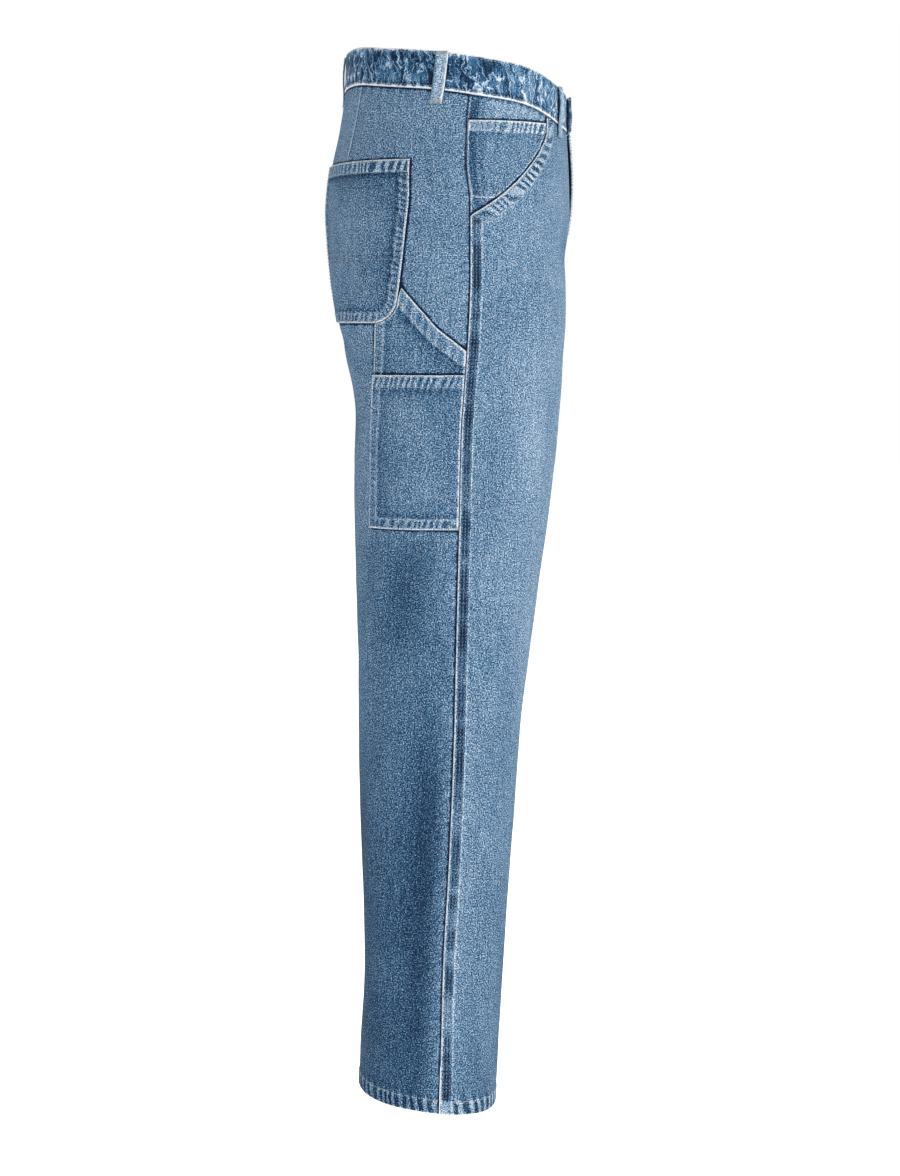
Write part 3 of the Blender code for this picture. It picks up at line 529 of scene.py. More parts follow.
def denim(name, tone=-0.085, grain=1.0, bump=0.35, crackle=0.0, dart=None):
    """Washed indigo twill. The cloth's own map turns the weave with it, and three attributes say how
    washed a place is, with painted shade and highlight in the same value, how far it is from a worn edge,
    and how far from an edge beside which a shadow is painted, in mm. Crackle is the strength of the pale
    ridges of a puckered band, and a dart is a pale worn line with a painted highlight and painted shade
    beside it."""
    made = bpy.data.materials.new(name)
    made.use_nodes = True
    shade = Shade(made.node_tree)
    node = shade.node
    cloth = node("ShaderNodeUVMap", {"uv_map": "cloth"})
    wash = node("ShaderNodeAttribute", {"attribute_name": "wash"}, output=2)
    edge = node("ShaderNodeAttribute", {"attribute_name": "edge"}, output=2)
    contact = node("ShaderNodeAttribute", {"attribute_name": "contact"}, output=2)
    parts = node("ShaderNodeSeparateXYZ", {}, {"Vector": cloth})
    across = parts
    along = Shade(made.node_tree, parts.socket.node.outputs[1])
    speckle = node("ShaderNodeTexNoise", {"noise_dimensions": "2D"},
                   {"Vector": cloth, "Scale": 780.0, "Detail": 2.0, "Roughness": 0.85})
    blotch = node("ShaderNodeTexNoise", {"noise_dimensions": "2D"},
                  {"Vector": cloth, "Scale": 150.0, "Detail": 1.0})
    cloud = node("ShaderNodeTexNoise", {"noise_dimensions": "2D"},
                 {"Vector": cloth, "Scale": 17.0, "Detail": 2.0})
    stretched = node("ShaderNodeCombineXYZ", {}, {"X": across * 420.0, "Y": along * 24.0})
    streak = node("ShaderNodeTexNoise", {"noise_dimensions": "2D"},
                  {"Vector": stretched, "Scale": 1.0, "Detail": 2.0})
    cycles = node("ShaderNodeAttribute", {"attribute_name": "cycles"}, output=2)
    ropes = node("ShaderNodeAttribute", {"attribute_name": "ropes"}, output=2)
    wave = (cycles * (2 * np.pi) + ((blotch - 0.5) * 1.8 + np.pi / 2)).sine()
    dash = (wave.between(-0.60, 0.60) * 2.0 - 1.0) * ropes
    twill = (across * 5200.0 + along * 3700.0).sine()
    worn = 1.0 - (edge + (blotch - 0.5) * 2.4).between(0.8, 2.1)
    shadow = 1.0 - (contact + (blotch - 0.5) * 1.6).between(0.6, 2.9)
    level = wash * 0.5 + (0.5 + tone)
    level = level + dash * 0.34
    level = level + (speckle - 0.5) * (2.85 * grain) + (blotch - 0.5) * 0.20 + (cloud - 0.5) * 0.12
    level = level + (streak - 0.5) * 0.22 + twill * 0.04 + worn * 0.50 - shadow * 0.75
    if crackle:
        bent = node("ShaderNodeCombineXYZ", {},
                    {"X": across * 160.0 + (blotch - 0.5) * 1.6, "Y": along * 52.0})
        fold = node("ShaderNodeTexNoise", {"noise_dimensions": "2D"},
                    {"Vector": bent, "Scale": 1.0, "Detail": 0.0})
        ridge = 1.0 - (fold - 0.5).absolute().between(0.015, 0.075)
        pool = node("ShaderNodeTexNoise", {"noise_dimensions": "2D"},
                    {"Vector": bent, "Scale": 0.9, "Detail": 1.0, "Distortion": 0.5}).between(0.44, 0.66)
        level = level + ridge * crackle - pool * crackle * 0.52
    if dart:
        (top_across, top_along), (foot_across, foot_along) = dart
        slant = (foot_across - top_across) / (foot_along - top_along)
        aside = across - along * slant - (top_across - top_along * slant)
        short = along.between(foot_along, foot_along + 0.004)
        # The dart's pale line is worn with a painted highlight, and the dark line beside it is painted shade.
        line = (1.0 - aside.absolute().between(0.0005, 0.0016)) * short
        dark = (1.0 - (aside - 0.0022).absolute().between(0.0004, 0.0022)) * short
        level = level + line * 0.36 - dark * 0.22
    colour = node("ShaderNodeValToRGB", {"stops": DENIM_RAMP}, {"Fac": level})
    height = twill * 0.25 + speckle + streak * 0.5 + dash * 0.9
    bumped = node("ShaderNodeBump", {}, {"Strength": bump, "Distance": 0.0004, "Height": height})
    surface = made.node_tree.nodes["Principled BSDF"]
    surface.inputs["Roughness"].default_value = 0.88
    surface.inputs["Specular IOR Level"].default_value = 0.08
    surface.inputs["Sheen Weight"].default_value = 0.03
    surface.inputs["Sheen Roughness"].default_value = 0.5
    made.node_tree.links.new(colour.socket, surface.inputs["Base Color"])
    made.node_tree.links.new(bumped.socket, surface.inputs["Normal"])
    return made


def cloth_object(name, points, faces, cloth_map, values, wall, materials):
    """A piece of cloth from its outer surface: its wall goes inwards, and the map and values ride on it."""
    mesh = bpy.data.meshes.new(name)
    mesh.from_pydata(points.tolist(), [], faces)
    corners = np.empty(len(mesh.loops), dtype=np.int32)
    mesh.loops.foreach_get("vertex_index", corners)
    mesh.uv_layers.new(name="cloth").data.foreach_set("uv", cloth_map[corners].ravel())
    for label, column in values.items():
        layer = mesh.attributes.new(label, "FLOAT", "POINT")
        layer.data.foreach_set("value", np.asarray(column, dtype=np.float32).ravel())
    mesh.shade_smooth()
    item = bpy.data.objects.new(name, mesh)
    bpy.context.scene.collection.objects.link(item)
    for looks in materials:
        mesh.materials.append(looks)
    if wall:
        solid = item.modifiers.new("wall", "SOLIDIFY")
        solid.thickness = wall
        solid.offset = -1
        solid.material_offset = len(materials) - 1
        solid.material_offset_rim = 0
    return item


def grid_faces(rows, columns, turned):
    faces = []
    for j in range(rows - 1):
        for i in range(columns - 1):
            a = j * columns + i
            quad = (a, a + columns, a + columns + 1, a + 1)
            faces.append(quad[::-1] if turned else quad)
    return faces


def spread(near_start, near_end, pitch, length):
    """Distances from one end of a stretch to the other, given near both ends."""
    first = near_start[-1]
    last = length - near_end[-1]
    count = max(int(round((last - first) / pitch)), 1)
    middle = np.linspace(first, last, count + 1)[1:-1]
    return np.concatenate([near_start, middle, length - np.array(near_end)[::-1]])


SEAM_STEPS = (0.0, 0.0005, 0.0010, 0.0016, 0.0026, 0.0038, 0.0052, 0.0066, 0.0080, 0.0092, 0.0100, 0.0106,
              0.0113, 0.0122, 0.0136, 0.0155, 0.0180)
PLAIN_STEPS = (0.0, 0.0006, 0.0014, 0.0026, 0.0045, 0.0070, 0.0100, 0.0130)
HEM_STEPS = (0.0, 0.0005, 0.0012, 0.0025, 0.0045, 0.0065, 0.0085, 0.0105, 0.0122, 0.0130, 0.0138, 0.0150,
             0.0170, 0.0200)
PANEL_PITCH_ACROSS = 0.0030
PANEL_PITCH_DOWN = 0.0034


def panel_grid(skin, left_edge, right_edge, left_steps, right_steps):
    """Widths and heights of a panel's grid, from the waist to the hem. Edges are functions of height."""
    down = spread(PLAIN_STEPS, HEM_STEPS, PANEL_PITCH_DOWN, 0.96)
    first = len(PLAIN_STEPS) - 1
    last = len(down) - len(HEM_STEPS)
    sample = np.linspace(-0.2, -0.9, 12)
    typical = float(np.mean(right_edge(sample) - left_edge(sample)))
    across = spread(left_steps, right_steps, PANEL_PITCH_ACROSS, typical)
    widest = len(left_steps) - 1
    narrow = len(across) - len(right_steps)
    heights = np.repeat(np.linspace(0.0, -0.98, len(down))[:, None], len(across), axis=1)
    for _ in range(8):
        left = left_edge(heights)
        right = right_edge(heights)
        part = (np.arange(len(across)) - widest) / (narrow - widest)
        start = left + left_steps[-1]
        finish = right - right_steps[-1]
        widths = start + np.clip(part, 0, 1)[None, :] * (finish - start)
        for k, step in enumerate(left_steps):
            widths[:, k] = left[:, k] + step
        for k, step in enumerate(right_steps):
            widths[:, -1 - k] = right[:, -1 - k] - step
        top = skin.band_seam(widths, heights) - SEAM / 2
        bottom = skin.hem(widths)
        upper = top - PLAIN_STEPS[-1]
        lower = bottom + HEM_STEPS[-1]
        part = np.clip((np.arange(len(down)) - first) / (last - first), 0, 1)[:, None]
        heights = upper + part * (lower - upper)
        for k, step in enumerate(PLAIN_STEPS):
            heights[k] = top[k] - step
        for k, step in enumerate(HEM_STEPS):
            heights[-1 - k] = bottom[-1 - k] + step
    return widths, heights


def scoop_width(height):
    """Width of the scooped mouth's edge at a height."""
    edge = smooth_table(SCOOP[::-1, 1], SCOOP[::-1, 0], height)
    return np.where(height < SCOOP[-1, 1], SEAM / 2, edge)


POCKET_TOP = -0.0770
POCKET_BOTTOM = -0.2325
POCKET_SIDES = ((-0.0540, -0.0690), (-0.2140, -0.2040))
POCKET_CORNER = 0.024


def pocket_outline(grow=0.0, turns=9):
    """Back pocket: a straight top, sides that draw in, and rounded lower corners."""
    (near_top, near_bottom), (far_top, far_bottom) = POCKET_SIDES
    radius = POCKET_CORNER + grow
    outline = [(far_top - grow, POCKET_TOP + grow), (near_top + grow, POCKET_TOP + grow)]
    for turn in np.radians(np.linspace(0, 90, turns)):
        outline.append((near_bottom - POCKET_CORNER + radius * np.cos(turn),
                        POCKET_BOTTOM + POCKET_CORNER - radius * np.sin(turn)))
    for turn in np.radians(np.linspace(90, 0, turns)):
        outline.append((far_bottom + POCKET_CORNER - radius * np.cos(turn),
                        POCKET_BOTTOM + POCKET_CORNER - radius * np.sin(turn)))
    return outline


TOOL_SIDE = -0.0915
TOOL_BOTTOM = -0.4285
TOOL_NEAR = -0.0008
TOOL_MOUTH_LINE = ((-0.0655, -0.1990), (-0.0300, -0.2370), (TOOL_NEAR, -0.2590))
TOOL_OVER_TOP = -0.2815


def tool_under_outline():
    around = [p for p in pocket_outline(0.0006)[2:11] if p[0] > TOOL_SIDE and p[1] < -0.202]
    return ([(TOOL_NEAR, TOOL_BOTTOM), (TOOL_SIDE, TOOL_BOTTOM), (TOOL_SIDE, POCKET_BOTTOM - 0.0006)]
            + around[::-1] + list(TOOL_MOUTH_LINE))


def inside(outline, width, height):
    """Which places lie in a closed outline."""
    found = np.zeros(np.shape(width), dtype=bool)
    for k, (w1, h1) in enumerate(outline):
        w0, h0 = outline[k - 1]
        if h0 == h1:
            continue
        crossed = ((h0 > height) != (h1 > height)) & (width < w0 + (height - h0) * (w1 - w0) / (h1 - h0))
        found = found ^ crossed
    return found


def fly_rise(skin, width, height):
    """How far the left front lies out over the right one along the fly."""
    near = ease(-0.034, -0.004, width - skin.end(height))
    most = 0.0023 + 0.0026 * np.exp(-((height + 0.085) / 0.045) ** 2)
    fade = ease(FLY_BOTTOM - 0.045, FLY_BOTTOM - 0.006, height)
    return most * near * fade


def rounded(distance, drop=0.0005, reach=0.0011):
    """A turned edge falls away over its last millimetre."""
    return -drop * (1 - np.clip(distance / reach, 0, 1)) ** 2


def hem_relief(skin, width, height, seed):
    """Rise, wash with painted shade, and puckers of the turned-up hem."""
    up = height - skin.hem(width)
    on_hem = 1 - ease(HEM_DEPTH - 0.001, HEM_DEPTH + 0.0012, up)
    above = (1 - on_hem) * np.exp(-np.clip(up - HEM_DEPTH, 0, 1) / 0.006)
    at_seam = np.exp(-((width - 0.0055) / 0.0050) ** 4)
    cycles, strength = puckers(width + 0.3, up, 0.0086, seed)
    strength = strength * (1.05 * on_hem * (1 - at_seam) + 0.55 * above)
    rise = 0.0007 * on_hem + rounded(up) + 0.00028 * ridges((cycles, strength))
    line = np.exp(-((up - HEM_DEPTH) / 0.0014) ** 2)
    # Just above the hem's row the cloth is darkened with painted shade.
    wash = 0.48 * line + 0.50 * at_seam * on_hem - 0.06 * on_hem - 0.20 * above
    return rise, wash, up, (cycles, strength)


def panel_wash_and_shade(skin, width, height, seed):
    """Broad wash of a leg, with painted light: paler on the thigh, a painted highlight on the ridges of the
    folds and painted shade in their troughs, darker on the lower front, and darker at the back, partly fade
    and partly painted shade.
    """
    folds = skin.read(skin.fold, width, height)
    thigh = np.exp(-((width - 0.105) / 0.085) ** 2) * ease(-0.72, -0.30, height) * ease(-0.05, -0.12, height)
    shin = -0.16 * ease(0.0, 0.04, width) * (1 - ease(-0.98, -0.70, height))
    # Darker at the back, high and low: partly fade, partly painted shade.
    back = -0.20 * ease(0.01, -0.03, width) * ease(-0.36, -0.50, height)
    low_back = -0.22 * ease(0.01, -0.03, width) * ease(-0.56, -0.80, height)
    drift = 0.06 * patchy(width / 0.09, height / 0.16, seed + 40)
    # The folds' term is painted light: highlight on their ridges, shade in their troughs.
    return 0.14 * thigh + shin + back + low_back + drift + np.clip(folds * 85, -0.30, 0.18)


def front_panel(skin, materials):
    """The front leg, with the scooped mouth at the top of its side and, on the left, the fly's flap."""
    left_side = skin.side == "left"

    def left_edge(height):
        return np.maximum(scoop_width(height), SEAM / 2)

    def right_edge(height):
        end = skin.end(height) - SEAM / 2
        if left_side:
            end = end + FLY_LAP * ease(FLY_BOTTOM, FLY_BOTTOM + 0.024, height)
        return end

    widths, heights = panel_grid(skin, left_edge, right_edge, SEAM_STEPS, PLAIN_STEPS)
    seed = 100 if left_side else 60
    rise, wash, up, hem_zone = hem_relief(skin, widths, heights, seed)
    wash = wash + panel_wash_and_shade(skin, widths, heights, seed)
    scoop_line = [(float(scoop_width(h)), h) for h in np.linspace(-0.014, SCOOP[-1, 1], 30)]
    from_scoop, run = line_distance(scoop_line, widths, heights)
    on_band = (1 - ease(0.0120, 0.0145, from_scoop)) * ease(-0.136, -0.128, heights)
    on_band = on_band * ease(0.0015, 0.0034, from_scoop)
    cycles, strength = puckers(run, from_scoop, 0.0088, seed + 2, slant=0.45)
    scoop_zone = (cycles, 1.1 * strength * on_band)
    rise = rise + 0.0005 * on_band + 0.00026 * ridges(scoop_zone) + rounded(from_scoop)
    wash = wash + 0.06 * on_band
    wash = wash + 0.30 * np.exp(-((from_scoop - 0.0138) / 0.0012) ** 2) * ease(-0.150, -0.140, heights)
    below = np.clip(SCOOP[-1, 1] - heights, 0, None)
    felled = ease(0.0, 0.006, below)
    band = felled * (1 - ease(FELL - 0.0006, FELL + 0.0006, widths))
    rise = rise + 0.0009 * band + rounded(widths) * felled
    band = band * ease(0.0014, 0.0028, widths) * ease(0.008, 0.016, up)
    blotches = (patchy(heights / 0.021, heights * 0 + 0.5, seed + 5)
                + patchy(heights / 0.009, heights * 0, seed + 6))
    rows = np.cos(2 * np.pi * (widths - 0.0026) / 0.0031)
    wash = wash + band * (-0.60 + 0.36 * blotches + 0.24 * rows)
    pale_edge = np.exp(-((widths - FELL - 0.0004) / 0.0012) ** 2)
    wash = wash + felled * 0.62 * pale_edge * (0.8 + 0.4 * patchy(heights / 0.03, heights * 0 + 2.5, seed))
    beside = np.exp(-np.clip(widths - FELL, 0, 1) / 0.007) * (1 - band) * felled
    cycles, strength = puckers(heights, widths, 0.011, seed + 7, slant=0.5)
    side_zone = (cycles, 0.22 * strength * beside)
    below_band = skin.band_seam(widths, heights) - heights
    near_waist = np.exp(-below_band / 0.008)
    cycles, strength = puckers(widths, below_band, 0.0095, seed + 8)
    waist_zone = (cycles, 0.42 * strength * near_waist)
    rise = rise + 0.0004 * ridges(waist_zone)
    # Painted shade on the panel under the waistband.
    wash = wash - 0.20 * near_waist
    middle_gap = right_edge(heights) - widths
    inner = np.exp(-np.clip(middle_gap, 0, 1) / 0.006) * (heights < FLY_BOTTOM)
    cycles, strength = puckers(heights, middle_gap, 0.010, seed + 9)
    inner_zone = (cycles, 0.35 * strength * inner)
    wash = wash - 0.10 * inner
    # Contact is the distance in mm to edges beside which a shadow is painted: here the waist seam.
    contact = below_band * 1000 + 0.2
    if left_side:
        rise = rise + fly_rise(skin, widths, heights)
        rise = rise + rounded(middle_gap) * (heights > FLY_BOTTOM)
    edge = np.minimum(np.where(heights > SCOOP[-1, 1], from_scoop, widths), up + 0.0004) * 1000
    if left_side:
        edge = np.minimum(edge, np.where(heights > FLY_BOTTOM, middle_gap * 1000 + 0.3, 50))
    else:
        # The right front gets a painted shadow along the edge of the left front's flap.
        flap_end = skin.end(heights) - FLY_LAP
        contact = np.minimum(contact, np.where(heights > FLY_BOTTOM, (flap_end - widths) * 1000, 50.0))
    points, _ = skin.place(widths, heights, rise)
    columns = widths.shape[1]
    faces = grid_faces(len(widths), columns, left_side)
    zone = strongest(hem_zone, scoop_zone, waist_zone, side_zone, inner_zone)
    values = finish_values(wash, edge, contact, zone)
    cloth_map = np.stack([widths, heights], axis=-1).reshape(-1, 2)
    item = cloth_object(f"front_{skin.side}_cloth", points.reshape(-1, 3), faces, cloth_map, values, CLOTH,
                        materials)
    across = right_edge(heights[:, 0]) - left_edge(heights[:, 0])
    area = float(np.sum(across[:-1] * -np.diff(heights[:, 0])))
    return item, (float(np.max(widths) - np.min(widths)), float(np.max(heights) - np.min(heights))), area


DART = ((-0.1262, 0.000), (-0.1430, -0.077))


def back_panel(skin, materials):
    """The back leg, from the middle of the seat and the inseam to the side seam."""
    right_side = skin.side == "right"

    def left_edge(height):
        return skin.end(height, False) + SEAM / 2

    def right_edge(height):
        return np.full(np.shape(height), -SEAM / 2)

    widths, heights = panel_grid(skin, left_edge, right_edge, PLAIN_STEPS, PLAIN_STEPS)
    seed = 200 if right_side else 260
    rise, wash, up, hem_zone = hem_relief(skin, widths, heights, seed)
    wash = wash + panel_wash_and_shade(skin, widths, heights, seed)
    aside = -widths
    rise = rise - 0.0004 * (1 - ease(0.0, 0.0022, aside))
    cycles, strength = puckers(heights, aside, 0.012, seed + 3, slant=0.5)
    side_zone = (cycles, 0.24 * strength * np.exp(-aside / 0.009))
    rise = rise + 0.0008 * ridges(side_zone)
    below_band = skin.band_seam(widths, heights) - heights
    near_waist = np.exp(-below_band / 0.008)
    cycles, strength = puckers(widths, below_band, 0.0095, seed + 8)
    waist_zone = (cycles, 0.45 * strength * near_waist)
    rise = rise + 0.0004 * ridges(waist_zone)
    # Painted shade on the panel under the waistband.
    wash = wash - 0.18 * near_waist
    middle_gap = widths - left_edge(heights)
    inner = np.exp(-np.clip(middle_gap, 0, 1) / 0.007)
    cycles, strength = puckers(heights, middle_gap, 0.010, seed + 9)
    inner_zone = (cycles, 0.45 * strength * inner)
    fell = 1 - ease(FELL - 0.0006, FELL + 0.0008, middle_gap)
    wash = wash - 0.12 * inner
    rise = rise + 0.0003 * ridges(inner_zone) + 0.0006 * fell + rounded(middle_gap)
    from_dart = line_distance(DART, widths, heights)[0]
    rise = rise - 0.0005 * np.exp(-(from_dart / 0.0030) ** 2)
    outlines = [pocket_outline()]
    if right_side:
        outlines.append(tool_under_outline())
    # Contact is the distance to edges beside which a shadow is painted: the side seam, the waist seam and the
    # pockets.
    contact = np.minimum(aside + 0.0004, below_band + 0.0002)
    for outline in outlines:
        gap = line_distance(outline + outline[:1], widths, heights)[0]
        contact = np.minimum(contact, np.where(inside(outline, widths, heights), -gap, gap))
    halo = np.exp(-np.clip(contact, 0, 1) / 0.006)
    wash = wash + 0.10 * halo * patchy(widths / 0.006, heights / 0.006, seed + 12)
    points, _ = skin.place(widths, heights, rise)
    columns = widths.shape[1]
    faces = grid_faces(len(widths), columns, not right_side)
    edge = (up + 0.0004) * 1000
    zone = strongest(hem_zone, side_zone, waist_zone, inner_zone)
    values = finish_values(wash, edge, contact * 1000, zone)
    cloth_map = np.stack([widths, heights], axis=-1).reshape(-1, 2)
    item = cloth_object(f"back_{skin.side}_cloth", points.reshape(-1, 3), faces, cloth_map, values, CLOTH,
                        materials)
    area = float(np.sum((right_edge(heights[:, -1]) - left_edge(heights[:, -1]))[:-1]
                        * -np.diff(heights[:, -1])))
    return item, (float(np.max(widths) - np.min(widths)), float(np.max(heights) - np.min(heights))), area


right_skin = Skin("right")
left_skin = Skin("left")
denim_outside = denim("denim outside")
denim_seat = denim("denim seat", dart=DART)
denim_inside = denim("denim inside", tone=0.16, grain=0.5, bump=0.2)
for skin in (right_skin, left_skin):
    for make, node, looks in ((front_panel, "front", denim_outside), (back_panel, "back", denim_seat)):
        panel, flat_size, flat_area = make(skin, (looks, denim_inside))
        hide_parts(f"{node}_{skin.side}")
        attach(panel, "root")
        min(flat_area, flat_size[0] * flat_size[1])


# The thread. Pale cotton, sewn in rows of lockstitch: each stitch is a slim bead that lies along its
# row. The legs' rows run down the felled side seams and inseams and round the hems.
def thread(name, colour):
    made = bpy.data.materials.new(name)
    made.use_nodes = True
    shade = Shade(made.node_tree)
    place = shade.node("ShaderNodeTexCoord", {}, {}, 3)
    fibre = shade.node("ShaderNodeTexNoise", {}, {"Vector": place, "Scale": 900.0, "Detail": 1.0})
    dark = tuple(0.45 * c for c in colour[:3]) + (1.0,)
    tint = shade.node("ShaderNodeValToRGB", {"stops": ((0.30, dark), (0.62, colour))}, {"Fac": fibre})
    surface = made.node_tree.nodes["Principled BSDF"]
    surface.inputs["Roughness"].default_value = 0.7
    made.node_tree.links.new(tint.socket, surface.inputs["Base Color"])
    return made


def stitch_tree():
    """Rows of stitches along the input's edges, with each stitch's back to the cloth."""
    tree = bpy.data.node_groups.new("rows of stitches", "GeometryNodeTree")
    face = tree.interface
    face.new_socket("Rows", in_out="INPUT", socket_type="NodeSocketGeometry")
    for label, value in (("Stitch Pitch", 0.0032), ("Stitch Length", 0.0025), ("Thread Radius", 0.00032)):
        face.new_socket(label, in_out="INPUT", socket_type="NodeSocketFloat").default_value = value
    face.new_socket("Thread", in_out="INPUT", socket_type="NodeSocketMaterial")
    face.new_socket("Stitches", in_out="OUTPUT", socket_type="NodeSocketGeometry")

    def node(kind, settings=None, **sockets):
        made = tree.nodes.new(kind)
        for label, value in (settings or {}).items():
            setattr(made, label, value)
        for label, value in sockets.items():
            socket = made.inputs[label.replace("_", " ")]
            if isinstance(value, bpy.types.NodeSocket):
                tree.links.new(value, socket)
            else:
                socket.default_value = value
        return made.outputs

    rows = node("NodeGroupInput")
    curve = node("GeometryNodeMeshToCurve", Mesh=rows["Rows"])
    even = node("GeometryNodeResampleCurve", {"mode": "LENGTH"}, Curve=curve["Curve"],
                Length=rows["Stitch Pitch"])
    bead = node("GeometryNodeMeshUVSphere", Segments=6, Rings=4, Radius=1.0)
    half = node("ShaderNodeMath", {"operation": "MULTIPLY"})
    tree.links.new(rows["Stitch Length"], half["Value"].node.inputs[0])
    half["Value"].node.inputs[1].default_value = 0.5
    size = node("ShaderNodeCombineXYZ", X=half["Value"], Y=rows["Thread Radius"], Z=rows["Thread Radius"])
    stitch = node("GeometryNodeTransform", Geometry=bead["Mesh"], Scale=size["Vector"])
    along = node("GeometryNodeInputTangent")
    outward = node("GeometryNodeInputNamedAttribute", {"data_type": "FLOAT_VECTOR"}, Name="outward")
    first = node("FunctionNodeAlignRotationToVector", {"axis": "X"}, Vector=along["Tangent"])
    second = node("FunctionNodeAlignRotationToVector", {"axis": "Z", "pivot_axis": "X"},
                  Rotation=first["Rotation"], Vector=outward["Attribute"])
    many = node("GeometryNodeInstanceOnPoints", Points=even["Curve"], Instance=stitch["Geometry"],
                Rotation=second["Rotation"])
    real = node("GeometryNodeRealizeInstances", Geometry=many["Instances"])
    dyed = node("GeometryNodeSetMaterial", Geometry=real["Geometry"], Material=rows["Thread"])
    node("NodeGroupOutput", Stitches=dyed["Geometry"])
    return tree


STITCHES = stitch_tree()


def row(skin, places, out, pitch=0.002):
    """A sewn row through places of width and height, lying a little out from the cloth."""
    places = np.array(places, float)
    steps = np.hypot(*np.diff(places, axis=0).T)
    total = np.concatenate([[0], np.cumsum(steps)])
    at = np.linspace(0, total[-1], max(int(total[-1] / pitch), 2))
    widths = np.interp(at, total, places[:, 0])
    heights = np.interp(at, total, places[:, 1])
    rise = out(widths, heights) if callable(out) else out
    return skin.place(widths, heights, rise)


def sew(name, rows, looks, pitch=0.0034, length=0.0024, radius=0.00030):
    """Sew rows, each given as its points and their outward directions."""
    points = []
    outward = []
    edges = []
    for line, normals in rows:
        start = len(points)
        points += line.tolist()
        outward += normals.tolist()
        edges += [(start + k, start + k + 1) for k in range(len(line) - 1)]
    mesh = bpy.data.meshes.new(name)
    mesh.from_pydata(points, edges, [])
    layer = mesh.attributes.new("outward", "FLOAT_VECTOR", "POINT")
    layer.data.foreach_set("vector", np.array(outward, dtype=np.float32).ravel())
    item = bpy.data.objects.new(name, mesh)
    bpy.context.scene.collection.objects.link(item)
    change = item.modifiers.new("stitches", "NODES")
    change.node_group = STITCHES
    inputs = {s.name: s.identifier for s in STITCHES.interface.items_tree if s.in_out == "INPUT"}
    change[inputs["Stitch Pitch"]] = pitch
    change[inputs["Stitch Length"]] = length
    change[inputs["Thread Radius"]] = radius
    change[inputs["Thread"]] = looks
    made = bpy.data.meshes.new_from_object(item.evaluated_get(bpy.context.evaluated_depsgraph_get()))
    item.modifiers.clear()
    item.data = made
    made.name = name
    made.shade_smooth()
    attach(item, "root")
    return item


pale_thread = thread("pale thread", (0.50, 0.55, 0.58, 1.0))
blue_thread = thread("faded thread", (0.30, 0.37, 0.44, 1.0))
for skin in (right_skin, left_skin):
    down = np.linspace(SCOOP[-1, 1] - 0.004, HEM_AT_SIDE + HEM_DEPTH, 120)
    rows = [row(skin, [(w, h) for h in down], 0.0011) for w in (0.0030, 0.0060, 0.0090)]
    sew(f"side_seam_stitches_{skin.side}", rows, blue_thread)
    inner = np.linspace(CROTCH - 0.004, HEM_AT_SIDE + HEM_DEPTH, 120)
    rows = [row(skin, [(float(skin.end(h, False)) + aside, h) for h in inner], 0.0008)
            for aside in (0.0024, 0.0088)]
    round_hem = np.linspace(float(skin.end(HEM_AT_SIDE, False)) + 0.001, float(skin.end(HEM_AT_SIDE)) - 0.001,
                            150)
    rows.append(row(skin, [(w, float(skin.hem(w)) + HEM_DEPTH) for w in round_hem], 0.0005))
    sew(f"leg_stitches_{skin.side}", rows, pale_thread)


# The waistband. One folded strip of denim, topstitched along both edges: the right end lies under, it
# runs round the back, and the left end laps over. Its pale ridges and navy hollows come from the wash.
BAND_STANDS_OUT = 0.0008
BAND_PROFILE = (
    # height above the seam, and how far out from the band's face, in metres
    (0.0000, -0.00050), (0.0005, -0.00010), (0.0014, 0.0), (0.0026, 0.0), (0.0040, 0.0), (0.0060, 0.0),
    (0.0085, 0.0), (0.0115, 0.0), (0.0150, 0.0), (0.0190, 0.0), (0.0230, 0.0), (0.0265, 0.0), (0.0295, 0.0),
    (0.0320, 0.0), (0.0340, 0.0), (0.0354, 0.0), (0.0364, -0.00020), (0.0368, -0.00070), (0.0369, -0.00110),
    (0.0366, -0.00170), (0.0358, -0.00220), (0.0300, -0.00220), (0.0220, -0.00220), (0.0140, -0.00220),
    (0.0060, -0.00220), (0.0006, -0.00220), (0.0001, -0.00170),
)
BAND_STRETCHES = (
    # side, share at the start and end, steps, shares of the table that follows, and how far out there
    ("left", 0.92, 1.00, 9, (0.92, 1.0), (-0.0013, -0.0013)),
    ("right", 1.00, -1.00, 260, (-1.0, 0.7, 0.8, 0.9, 1.0), (0.0, 0.0, -0.0002, -0.0008, -0.0013)),
    ("left", -1.00, 1.00, 260, (-1.0, 0.7, 0.8, 0.9, 1.0), (0.0, 0.0, 0.0006, 0.0013, 0.0017)),
    ("right", 1.00, 0.945, 8, (0.945, 0.975, 1.0), (0.0042, 0.0022, 0.0017)),
)


def loft(name, rings, values, cloth_map, materials):
    """A closed solid through rings of points, one after the other, with flat ends."""
    count, around = rings.shape[:2]
    faces = []
    for j in range(count - 1):
        for i in range(around):
            after = (i + 1) % around
            faces.append((j * around + i, j * around + after, (j + 1) * around + after, (j + 1) * around + i))
    faces.append(tuple(range(around - 1, -1, -1)))
    faces.append(tuple((count - 1) * around + k for k in range(around)))
    return cloth_object(name, rings.reshape(-1, 3), faces, cloth_map.reshape(-1, 2), values, 0, materials)
